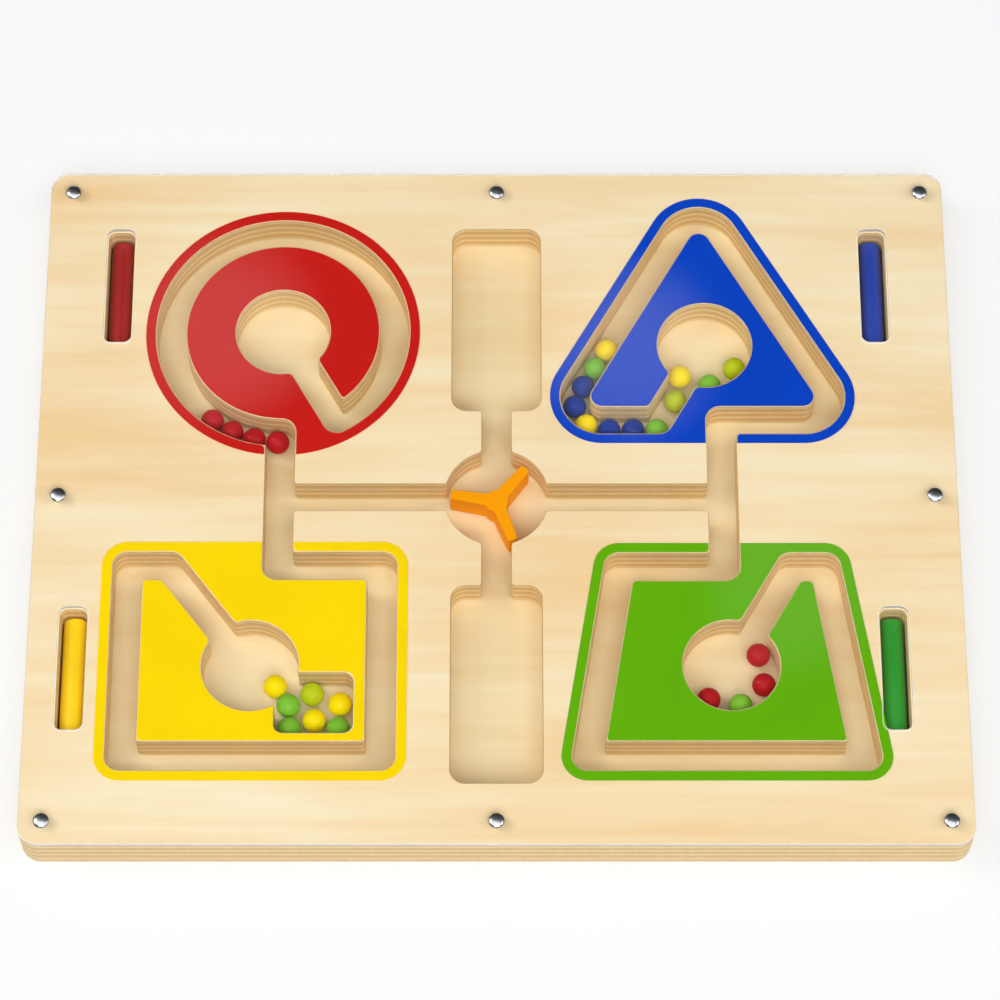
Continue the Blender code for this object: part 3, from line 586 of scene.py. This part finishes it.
# %% Wear the corners
FILLET_STEP = 0.45 * MM
PROUD_TURN = radians(35)
CORNER_REACH = 1.6 * MM
CORNER_STEPS = 6
SIDE_SHARE = 0.45


def crossing(here, along, there, across):
    """Where the line from one point along a direction meets the line from another point."""
    share = ((there - here).conjugate() * across).imag / (along.conjugate() * across).imag
    return here + along * share


def worn_corner(start, into, end, out):
    """The curve that takes a fillet's place, or nothing where the corner isn't proud or has no room."""
    turn = cmath.phase(out / into)
    if turn < PROUD_TURN:
        return []
    handle = crossing(start, into, end, out)
    room = min(abs(handle - start) + SIDE_SHARE * abs(into), abs(handle - end) + SIDE_SHARE * abs(out))
    reach = min(CORNER_REACH * min(1, sqrt(2) * cos(turn / 2)), room)
    if reach < max(abs(handle - start), abs(handle - end)):
        return []
    start, end = handle - reach * into / abs(into), handle + reach * out / abs(out)
    shares = [step / CORNER_STEPS for step in range(CORNER_STEPS + 1)]
    return [start * (1 - s) ** 2 + 2 * handle * s * (1 - s) + end * s * s for s in shares]


def worn_loop(loop):
    """The loop with the tight fillets of its proud corners opened. It starts after a long step."""
    first = [abs(step) > FILLET_STEP for step in steps_of(loop)].index(True) + 1
    loop = loop[first:] + loop[:first]
    steps = steps_of(loop)
    points, here = [], 0
    while here < len(loop):
        last = here
        while abs(steps[last]) < FILLET_STEP:
            last += 1
        curve = []
        if last > here:
            curve = worn_corner(loop[here], steps[here - 1], loop[last], steps[last])
        points += curve or loop[here:last + 1]
        here = last + 1
    return points


worn = [worn_loop(loop) for loop in board_loops]
print("with its corners worn, the maze layer has", sum(map(len, worn)), "points")

# %% [markdown]
# A sheet is a stack of rings. Each ring is the outline moved inwards by a little at its own height: a
# quarter round at the top edge, the straight wall, and a quarter round below. The caps are flat, so they
# are filled once with a triangulation that respects the holes, and used for the top and the bottom.

# %% Build a sheet from rings
ROUNDING_STEPS = 4
INSIDE_ONLY = 1
CAP_TOLERANCE = WELD / 100


def moved_in(loop, distance):
    """The loop moved into the material, square to its sides."""
    if not distance:
        return loop
    moved = []
    for before, here, after in zip(loop[-1:] + loop[:-1], loop, loop[1:] + loop[:1]):
        first, second = here - before, after - here
        inward = 1j * (first / abs(first) + second / abs(second))
        moved.append(here + 2 * distance * inward / abs(inward) ** 2)
    return moved


def loosened(loop, ease):
    """The loop with each corner that is too tight for its easing drawn in towards one point."""
    while True:
        eased = steps_of(moved_in(loop, ease))
        flipped = [(step * other.conjugate()).real <= 0 for step, other in zip(steps_of(loop), eased)]
        if True not in flipped:
            return loop
        first = flipped.index(True)
        second = (first + 1) % len(loop)
        loop[first] = (loop[first] + loop[second]) / 2
        del loop[second]


def edge_rings(bottom, top, ease):
    """The sheet's rings from the top down, as (distance in, height)."""
    angles = [pi / 2 * step / ROUNDING_STEPS for step in range(ROUNDING_STEPS + 1)]
    upper = [(ease * (1 - sin(angle)), top - ease * (1 - cos(angle))) for angle in angles]
    lower = [(inward, bottom + top - height) for inward, height in reversed(upper)]
    return upper + [(0, top - 2 * ease), (0, bottom + 2 * ease)] + lower


def encloses(loop):
    """1 for a loop that runs round material, -1 for one that runs round a hole."""
    area = sum((here.conjugate() * after).imag for here, after in zip(loop, loop[1:] + loop[:1]))
    return 1 if area > 0 else -1


def cap_triangles(loops):
    """Fills the loops and keeps the holes open. The triangles index the loops' points in order."""
    points, outlines = [], []
    for loop in loops:
        outline = list(range(len(points), len(points) + len(loop)))
        outlines.append(outline[::encloses(loop)])
        points += [Vector((point.real, point.imag)) for point in loop]
    kinds = [encloses(loop) for loop in loops]
    filled = delaunay_2d_cdt(points, [], outlines, INSIDE_ONLY, CAP_TOLERANCE, True)
    found, _, triangles, owners, _, holders = filled
    if len(found) != len(points):
        print("the cap's outlines touch:", len(points), "points became", len(found))
    solid = [corners for corners, held in zip(triangles, holders) if sum(kinds[i] for i in held) == 1]
    return [[owners[corner][0] for corner in corners] for corners in solid]


def sheet_mesh(name, loops, bottom, top, ease, finishes):
    """A flat sheet with rounded edges. Its first finish goes on the caps and its last on the walls."""
    rings = edge_rings(bottom, top, ease)
    loops = [loosened(loop, ease) for loop in loops]
    corners, faces, kinds = [], [], []
    for inward, height in rings:
        for loop in loops:
            corners += [(point.real, point.imag, height) for point in moved_in(loop, inward)]
    count = sum(map(len, loops))
    last = count * (len(rings) - 1)
    for a, b, c in cap_triangles([moved_in(loop, ease) for loop in loops]):
        faces += [(a, b, c), (last + c, last + b, last + a)]
        kinds += [0, 0]
    for ring in range(len(rings) - 1):
        first = ring * count
        for loop in loops:
            for i in range(len(loop)):
                a, b = first + i, first + (i + 1) % len(loop)
                faces.append((a, a + count, b + count, b))
                kinds.append(1)
            first += len(loop)
    mesh = bpy.data.meshes.new(name)
    mesh.from_pydata(corners, [], faces)
    mesh.validate()
    for finish in finishes:
        mesh.materials.append(finish)
    mesh.polygons.foreach_set("use_smooth", [kind == 1 for kind in kinds])
    mesh.polygons.foreach_set("material_index", [kind * (len(finishes) - 1) for kind in kinds])
    return mesh


print("a sheet has", len(edge_rings(0, 1, 0.1)), "rings")

# %% [markdown]
# A finished piece rides on the same body as the solid that it stands for, so it moves with every joint.

# %% Put a finished piece in a solid's place


def stand_for(name, mesh, node, place=(0, 0, 0), turn=(0, 0, 0)):
    """Links a finished piece, lets it ride on its solid's body and hides the solid."""
    piece = bpy.data.objects.new(name, mesh)
    piece.location = place
    piece.rotation_euler = turn
    scene.collection.objects.link(piece)
    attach(piece, body_of_node[node])
    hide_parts(node)


def finished_sheet(name, node, ease, finishes, bottom=None):
    """A flat solid made again with round curves and eased edges."""
    low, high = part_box(node)
    loops = [rounded_loop(worn_loop(loop)) for loop in loops_of(node)]
    mesh = sheet_mesh(name, loops, low.z if bottom is None else bottom, high.z, ease, finishes)
    print(name, "has", len(mesh.polygons), "faces")
    stand_for(name, mesh, node)


print("solids to stand for:", len(body_of_node))

# %% [markdown]
# ### The wooden sheets, the painted faces and the clear sheet
# The edges of both wooden sheets are sanded to a quarter of a millimetre. The paint films are about a
# fifth of a millimetre thick. In the frame they float on a hair of air, so each film is carried down to
# just above the wood, and the clear sheet down to just above the paint.

# %% Make the flat pieces
CONTACT_GAP = 0.02 * MM
MAZE_EASE = 0.25 * MM
BACKING_EASE = 0.25 * MM
FILM_EASE = 0.08 * MM
SHEET_EASE = 0.2 * MM

finished_sheet("backing_sheet", "base_board", BACKING_EASE, [backing_face, backing_edge])
finished_sheet("routed_maze_sheet", "maze_layer", MAZE_EASE, [maze_face, maze_edge])
wood_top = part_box("maze_layer")[1].z + CONTACT_GAP
for colour in ("red", "blue", "yellow", "green"):
    finished_sheet(f"{colour}_film", f"{colour}_face", FILM_EASE, [paints[f"{colour}_paint"]], wood_top)
film_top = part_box("red_face")[1].z + CONTACT_GAP
finished_sheet("clear_sheet_cover", "clear_cover", SHEET_EASE, [sheet_finish, sheet_edge], film_top)

# %% [markdown]
# ## The spinner
# Three arms meet in a round hub. Each arm narrows a little towards a blunt tip. The outline is drawn here
# as a formula: for each arm its two tip corners, and between two arms a stretch of the hub's circle, with
# every corner rounded. A bore in the underside takes the pin. A turned cutter and a Boolean make it.

# %% Turned shapes
TURNED_STEPS = 64
QUARTER_STEPS = 6
SHARP_EDGE = radians(38)


def turned_mesh(name, profile, finish, steps=TURNED_STEPS):
    """A solid turned about Z from a profile of (radius, height) that starts and ends on the axis."""
    shape = bmesh.new()
    rings = []
    for radius, height in profile:
        angles = [2 * pi * step / steps for step in range(steps)] if radius > 0 else [0]
        rings.append([shape.verts.new((radius * cos(a), radius * sin(a), height)) for a in angles])
    for one, other in zip(rings, rings[1:]):
        for step in range(steps):
            corners = [one[step % len(one)], one[(step + 1) % len(one)]]
            corners += [other[(step + 1) % len(other)], other[step % len(other)]]
            shape.faces.new(tuple(dict.fromkeys(corners)))
    bmesh.ops.recalc_face_normals(shape, faces=shape.faces)
    mesh = bpy.data.meshes.new(name)
    shape.to_mesh(mesh)
    shape.free()
    mesh.materials.append(finish)
    mesh.shade_smooth()
    mesh.set_sharp_from_angle(angle=SHARP_EDGE)
    return mesh


def quarter(radius, height, size, start):
    """A quarter round in a profile, about a centre, from one angle in degrees over the next ninety."""
    angles = [radians(start - 90 * step / QUARTER_STEPS) for step in range(QUARTER_STEPS + 1)]
    return [(radius + size * cos(angle), height + size * sin(angle)) for angle in angles]


def cut_from(mesh, cutter_mesh):
    """The mesh with the cutter taken away by an exact Boolean."""
    body = bpy.data.objects.new("body_to_cut", mesh)
    cutter = bpy.data.objects.new("cutter", cutter_mesh)
    for helper in (body, cutter):
        scene.collection.objects.link(helper)
    cut = body.modifiers.new("cut", "BOOLEAN")
    cut.object = cutter
    cut.operation = "DIFFERENCE"
    cut.solver = "EXACT"
    graph = bpy.context.evaluated_depsgraph_get()
    result = bpy.data.meshes.new_from_object(body.evaluated_get(graph))
    for helper in (body, cutter):
        bpy.data.objects.remove(helper)
    return result


print("a turned piece has", TURNED_STEPS, "steps round")

# %% Spinner
SPINNER_ANGLE = 51
SPINNER_ARMS = 3
TIP_HALF_WIDTH = 2.05 * MM
ROOT_HALF_WIDTH = 2.7 * MM
HUB_RADIUS = 4.8 * MM
TIP_ROUNDING = 1.3 * MM
ROOT_ROUNDING = 0.8 * MM
SPINNER_EASE = 0.45 * MM
HUB_STEPS = 8
ARC_STEPS = 8


def rounded_corners(corners):
    """A loop of (place, radius) corners, each drawn as an arc that touches both sides."""
    points = []
    for i, (here, radius) in enumerate(corners):
        back, ahead = corners[i - 1][0] - here, corners[(i + 1) % len(corners)][0] - here
        back, ahead = back / abs(back), ahead / abs(ahead)
        turn = cmath.phase(-ahead / back)
        if not radius or abs(turn) < LEAST_BEND:
            points.append(here)
            continue
        half_angle = abs(cmath.phase(ahead / back)) / 2
        reach = radius / tan(half_angle)
        start, end = here + back * reach, here + ahead * reach
        for step in range(ARC_STEPS + 1):
            along = (cmath.exp(1j * turn * step / ARC_STEPS) - 1) / (cmath.exp(1j * turn) - 1)
            points.append(start + (end - start) * along)
    return points


def spinner_loop(radius):
    """The spinner's outline: tapered arms with blunt tips, and the hub's circle between them."""
    root = asin(ROOT_HALF_WIDTH / HUB_RADIUS)
    sweep = 2 * pi / SPINNER_ARMS - 2 * root
    corners = []
    for arm in range(SPINNER_ARMS):
        turn = cmath.exp(1j * radians(SPINNER_ANGLE + arm * 360 / SPINNER_ARMS))
        corners.append((HUB_RADIUS * cmath.exp(-1j * root) * turn, ROOT_ROUNDING))
        corners.append((complex(radius, -TIP_HALF_WIDTH) * turn, TIP_ROUNDING))
        corners.append((complex(radius, TIP_HALF_WIDTH) * turn, TIP_ROUNDING))
        corners.append((HUB_RADIUS * cmath.exp(1j * root) * turn, ROOT_ROUNDING))
        for step in range(1, HUB_STEPS):
            corners.append((HUB_RADIUS * cmath.exp(1j * (root + sweep * step / HUB_STEPS)) * turn, 0))
    return rounded_corners(corners)


spinner_low, spinner_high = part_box("spinner")
first_arm = Vector((cos(radians(SPINNER_ANGLE)), sin(radians(SPINNER_ANGLE))))
spinner_reach = max(first_arm.dot(corner.co.xy) for corner in nodes["spinner"].data.vertices)
star = [spinner_loop(spinner_reach)]
orange = [paints["orange_paint"]]
spinner_body = sheet_mesh("spinner_body", star, spinner_low.z, spinner_high.z, SPINNER_EASE, orange)
print("spinner reach in mm:", round(spinner_reach / MM, 2), "faces:", len(spinner_body.polygons))

# %% Bore the spinner and finish its pin
BORE_GAP = 0.3 * MM
pin_low, pin_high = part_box("spinner_pin")
bore_radius = (pin_high.x - pin_low.x) / 2 + BORE_GAP
bore_roof = pin_high.z + BORE_GAP
bore_profile = [(0, 0), (bore_radius, 0), (bore_radius, bore_roof), (0, bore_roof)]
bored = cut_from(spinner_body, turned_mesh("spinner_bore", bore_profile, orange[0]))
stand_for("spinner_star", bored, "spinner")
nodes["spinner_pin"].data.materials[0] = steel_finish
print("bored spinner:", len(bored.polygons), "faces")

# %% [markdown]
# ## The balls
# Steel balls are dipped in paint and dried on a point, which leaves a shallow dimple. Two batches of green
# were mixed, so a few of the green balls are lime. A sphere made from a cube has even quads and no poles,
# so its highlight stays clean. Every ball lies at its own turn, drawn from a seeded generator, so that no
# two dimples point the same way.

# %% Balls
BALL_CUTS = 15
DIMPLE_ANGLE = radians(13)
DIMPLE_DEPTH = 0.12 * MM
TURN_SEED = 7
LIME_BALLS = ("square_ball_3", "triangle_hole_ball_3", "triangle_spoke_ball")


def ball_mesh(name, radius, place, turn, finish):
    """A sphere of even quads with a shallow dimple, turned and put in its place."""
    shape = bmesh.new()
    bmesh.ops.create_cube(shape, size=2)
    bmesh.ops.subdivide_edges(shape, edges=shape.edges, cuts=BALL_CUTS, use_grid_fill=True)
    for corner in shape.verts:
        direction = corner.co.normalized()
        closeness = max(0, 1 - direction.angle((0, 0, 1)) / DIMPLE_ANGLE)
        corner.co = direction * (radius - DIMPLE_DEPTH * closeness * closeness * (3 - 2 * closeness))
    shape.transform(Matrix.Translation(place) @ Euler(turn).to_matrix().to_4x4())
    mesh = bpy.data.meshes.new(name)
    shape.to_mesh(mesh)
    shape.free()
    mesh.materials.append(finish)
    mesh.shade_smooth()
    return mesh


ball_nodes = [node for node, slot in sorted(slot_of_node.items()) if slot.endswith("_ball_paint")]
turns = Random(TURN_SEED)
for node in ball_nodes:
    low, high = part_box(node)
    turn = [turns.uniform(0, 2 * pi) for _ in range(3)]
    coat = paints["lime_ball_paint" if node in LIME_BALLS else slot_of_node[node]]
    mesh = ball_mesh(f"dipped_{node}", (high.z - low.z) / 2, (low + high) / 2, turn, coat)
    stand_for(f"dipped_{node}", mesh, node)
print(len(ball_nodes), "balls of", round((high.z - low.z) / MM, 2), "mm")

# %% [markdown]
# ## The wands
# Each wand is a hardwood dowel, turned, dipped and gloss painted, with a plated magnet pressed into one
# end. The profile runs from the far end's centre over its rounded shoulder, down the side, round the mouth
# of the bore and up to the bore's roof. The magnet's edges are eased as well, so the plating catches light.

# %% Wands and magnets
WAND_ROUNDING = 1.1 * MM
MOUTH_ROUNDING = 0.25 * MM
MAGNET_EASE = 0.35 * MM
LIE_DOWN = (-pi / 2, 0, 0)


def eased_side(radius, low, high, ease):
    """A turned piece's side, from the rounding at its upper end to the one at its lower end."""
    return quarter(radius - ease, high - ease, ease, 90) + quarter(radius - ease, low + ease, ease, 0)


def wand_profile(radius, length, bore, roof):
    """From the far end's centre to the bore's roof. Heights are measured from the wand's middle."""
    end = length / 2
    profile = [(0, end), *eased_side(radius, -end, end, WAND_ROUNDING)]
    profile += [(bore + MOUTH_ROUNDING, -end), (bore, MOUTH_ROUNDING - end), (bore, roof), (0, roof)]
    return profile


for colour in ("red", "blue", "green", "yellow"):
    low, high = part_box(f"{colour}_wand")
    magnet_low, magnet_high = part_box(f"{colour}_wand_magnet")
    middle, radius = (low + high) / 2, (high.z - low.z) / 2
    magnet_radius = (magnet_high.z - magnet_low.z) / 2
    near, far = magnet_low.y - middle.y, magnet_high.y - middle.y
    profile = wand_profile(radius, high.y - low.y, magnet_radius + BORE_GAP, far + BORE_GAP)
    wand = turned_mesh(f"{colour}_dowel", profile, paints[f"{colour}_wand_paint"])
    stand_for(f"{colour}_painted_dowel", wand, f"{colour}_wand", middle, LIE_DOWN)
    profile = [(0, far), *eased_side(magnet_radius, near, far, MAGNET_EASE), (0, near)]
    magnet = turned_mesh(f"{colour}_slug", profile, magnet_finish)
    stand_for(f"{colour}_plated_slug", magnet, f"{colour}_wand_magnet", middle, LIE_DOWN)
    print(colour, "wand of", round((high.y - low.y) / MM, 1), "mm")

# %% [markdown]
# ## The screws
# Eight domed screws hold the clear sheet. The head is turned, and a cross recess is cut from it with an
# exact Boolean. The cross tapers towards its bottom, as the driver does. Screws never stop at the same
# turn, so each has its own.

# %% Screws
RECESS_LENGTH = 3.7 * MM
RECESS_WIDTH = 0.85 * MM
RECESS_DEPTH = 1.1 * MM
RECESS_TAPER_SHARE = 0.55
RIM_HEIGHT = 0.35 * MM
THREAD_PITCH = 0.9 * MM
THREAD_DEPTH = 0.22 * MM
POINT_LENGTH = 1.5 * MM
DOME_STEPS = 10
SCREW_STEPS = 48
SCREW_COUNT = 8


def recess_cutter(top):
    """Two crossing bars that narrow downwards."""
    shape = bmesh.new()
    for across in (0, pi / 2):
        for corner in bmesh.ops.create_cube(shape, size=1)["verts"]:
            taper = 1 if corner.co.z > 0 else RECESS_TAPER_SHARE
            x, y = corner.co.x * RECESS_LENGTH * taper, corner.co.y * RECESS_WIDTH * taper
            z = top + RECESS_WIDTH if corner.co.z > 0 else top - RECESS_DEPTH
            corner.co = (x * cos(across) - y * sin(across), x * sin(across) + y * cos(across), z)
    mesh = bpy.data.meshes.new("recess")
    shape.to_mesh(mesh)
    shape.free()
    return mesh


def screw_profile(low, high, seat, head_radius, shank_radius):
    """Point, threaded shank, flat seat, thin rim and domed head, from the tip upwards."""
    root_radius = shank_radius - THREAD_DEPTH
    profile = [(0, low), (root_radius, low + POINT_LENGTH)]
    height = low + POINT_LENGTH
    while height + THREAD_PITCH < seat:
        profile.append((shank_radius, height + THREAD_PITCH / 2))
        height += THREAD_PITCH
        profile.append((root_radius, height))
    profile += [(root_radius, seat), (head_radius - RIM_HEIGHT / 2, seat)]
    profile += [(head_radius, seat + RIM_HEIGHT / 2), (head_radius, seat + RIM_HEIGHT)]
    rise = high - seat - RIM_HEIGHT
    for step in range(1, DOME_STEPS + 1):
        share = sin(pi / 2 * step / DOME_STEPS)
        profile.append((head_radius * sqrt(max(0, 1 - share * share)), seat + RIM_HEIGHT + rise * share))
    profile[-1] = (0, high)
    return profile


def screw_mesh():
    """One screw about its own axis, at the heights that it has on the board."""
    low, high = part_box("cover_screw_1")
    corners = [corner.co for corner in nodes["cover_screw_1"].data.vertices]
    middle = (low + high) / 2
    cover_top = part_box("clear_cover")[1].z
    seat = min(corner.z for corner in corners if corner.z > cover_top)
    shank = max((corner.xy - middle.xy).length for corner in corners if corner.z < cover_top)
    profile = screw_profile(low.z, high.z, seat, (high.x - low.x) / 2, shank)
    screw = turned_mesh("turned_screw", profile, steel_finish, SCREW_STEPS)
    return cut_from(screw, recess_cutter(high.z))


screw_shape = screw_mesh()
for number in range(1, SCREW_COUNT + 1):
    low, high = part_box(f"cover_screw_{number}")
    middle = (low + high) / 2
    turn = (0, 0, turns.uniform(0, pi))
    stand_for(f"domed_screw_{number}", screw_shape, f"cover_screw_{number}", (middle.x, middle.y, 0), turn)
print("each screw has", len(screw_shape.polygons), "faces")

# %% [markdown]
# ## Floor and light
# The board lies on a plain pale floor. Four large softboxes stand well away from it, so that its near and
# its far edge get almost the same light. Two are on the viewer's side, one high and one lower. The camera
# sees none of them mirrored in the clear sheet, so the paint under it keeps its full colour, and the lower
# one lights the far walls of the lanes. One stands on the left and a weaker one on the right. Together
# they light a level surface at a strength of about one, so a colour renders about as it is written.
#
# A photographer lights a white backdrop apart from the object. Here the floor's own material does that:
# to the eye, to what mirrors it and through the clear sheet, it shows a share of plain white. The rest of
# it is an ordinary surface that takes the board's shadow.

# %% Floor
FLOOR_SIDE = 12
FLOOR_WHITE = chip(246, 246, 246)
SHOWN_WHITE = chip(252, 252, 252)
FLOOR_SHOWN_WHITE = 0.6
FLOOR_DROP = 0.2 * MM

floor_mesh = bpy.data.meshes.new("floor")
half = FLOOR_SIDE / 2
corners = [(-half, -half, 0), (half, -half, 0), (half, half, 0), (-half, half, 0)]
floor_mesh.from_pydata(corners, [], [(0, 1, 2, 3)])
floor_finish, tree, shader, place = new_material("pale_floor")
film = place_group(tree, paint_film, {"Vector": place, "Paint": FLOOR_WHITE, "Unevenness": 0.02})
tree.links.new(film["Color"], shader.inputs["Base Color"])
set_plain(shader, Roughness=0.9, Specular_IOR_Level=0.1)
path = add_node(tree, "LightPath").outputs
seen = calc(tree, "ADD", path["Is Camera Ray"], path["Is Glossy Ray"])
seen = calc(tree, "MINIMUM", calc(tree, "ADD", seen, path["Is Transmission Ray"]), 1.0)
share = calc(tree, "MULTIPLY", seen, FLOOR_SHOWN_WHITE)
white = add_node(tree, "Emission", {"Color": SHOWN_WHITE, "Strength": 1.0}).outputs[0]
shown = add_node(tree, "MixShader", {0: share, 1: shader.outputs[0], 2: white})
tree.links.new(shown.outputs[0], tree.nodes["Material Output"].inputs["Surface"])
floor_mesh.materials.append(floor_finish)
floor_piece = bpy.data.objects.new("pale_floor", floor_mesh)
floor_piece.location.z = -FLOOR_DROP
scene.collection.objects.link(floor_piece)
print("floor of", FLOOR_SIDE, "metres")

# %% Lamps


def softbox(name, place, size, power):
    """An area lamp that faces the middle of the board and isn't seen itself."""
    lamp = bpy.data.lights.new(name, "AREA")
    lamp.shape = "RECTANGLE"
    lamp.size, lamp.size_y = size
    lamp.energy = power
    lamp_piece = bpy.data.objects.new(name, lamp)
    lamp_piece.location = place
    lamp_piece.rotation_euler = (-Vector(place)).to_track_quat("-Z", "Y").to_euler()
    lamp_piece.visible_camera = False
    scene.collection.objects.link(lamp_piece)


softbox("overhead_softbox", place=(-0.2, -0.84, 3.2), size=(4.0, 2.6), power=55)
softbox("front_softbox", place=(0.2, -2.2, 2.5), size=(2.6, 1.6), power=50)
softbox("left_softbox", place=(-2.7, 0.5, 2.4), size=(1.8, 1.8), power=45)
softbox("right_softbox", place=(2.8, -0.6, 2.2), size=(1.8, 1.8), power=29)

# %% [markdown]
# The clear sheet is a mirror of about eight per cent. What it mirrors is the room behind the board, so the
# room is kept dim, with a few soft glows. Each glow sits where the sheet throws it to the eye, and lays a
# patch of haze on the paint: the sign that there is a sheet at all.

# %% World
ROOM_LEVEL = 0.03
GLOWS = (
    ((-114 * MM, 76 * MM), radians(1.7), 0.55),
    ((54 * MM, 66 * MM), radians(1.6), 0.8),
    ((118 * MM, -42 * MM), radians(1.5), 0.25),
)

world = bpy.data.worlds.new("studio")
world.use_nodes = True
scene.world = world
sky = world.node_tree
direction = add_node(sky, "TexCoord").outputs["Generated"]
level = ROOM_LEVEL
sheet_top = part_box("clear_cover")[1].z
for (x, y), spread, strength in GLOWS:
    seen = Vector((x, y, sheet_top)) - camera.location
    mirrored = Vector((seen.x, seen.y, -seen.z)).normalized()
    likeness = add_node(sky, "VectorMath", {0: direction, 1: mirrored}, operation="DOT_PRODUCT")
    glow = remap(sky, likeness.outputs["Value"], cos(spread), 1, to_high=strength, kind="SMOOTHSTEP")
    level = calc(sky, "ADD", glow, level)
sky.links.new(level, sky.nodes["Background"].inputs["Strength"])
sky.nodes["Background"].inputs["Color"].default_value = (1, 1, 1, 1)
scene.view_settings.view_transform = "Standard"
print("room glows:", len(GLOWS))
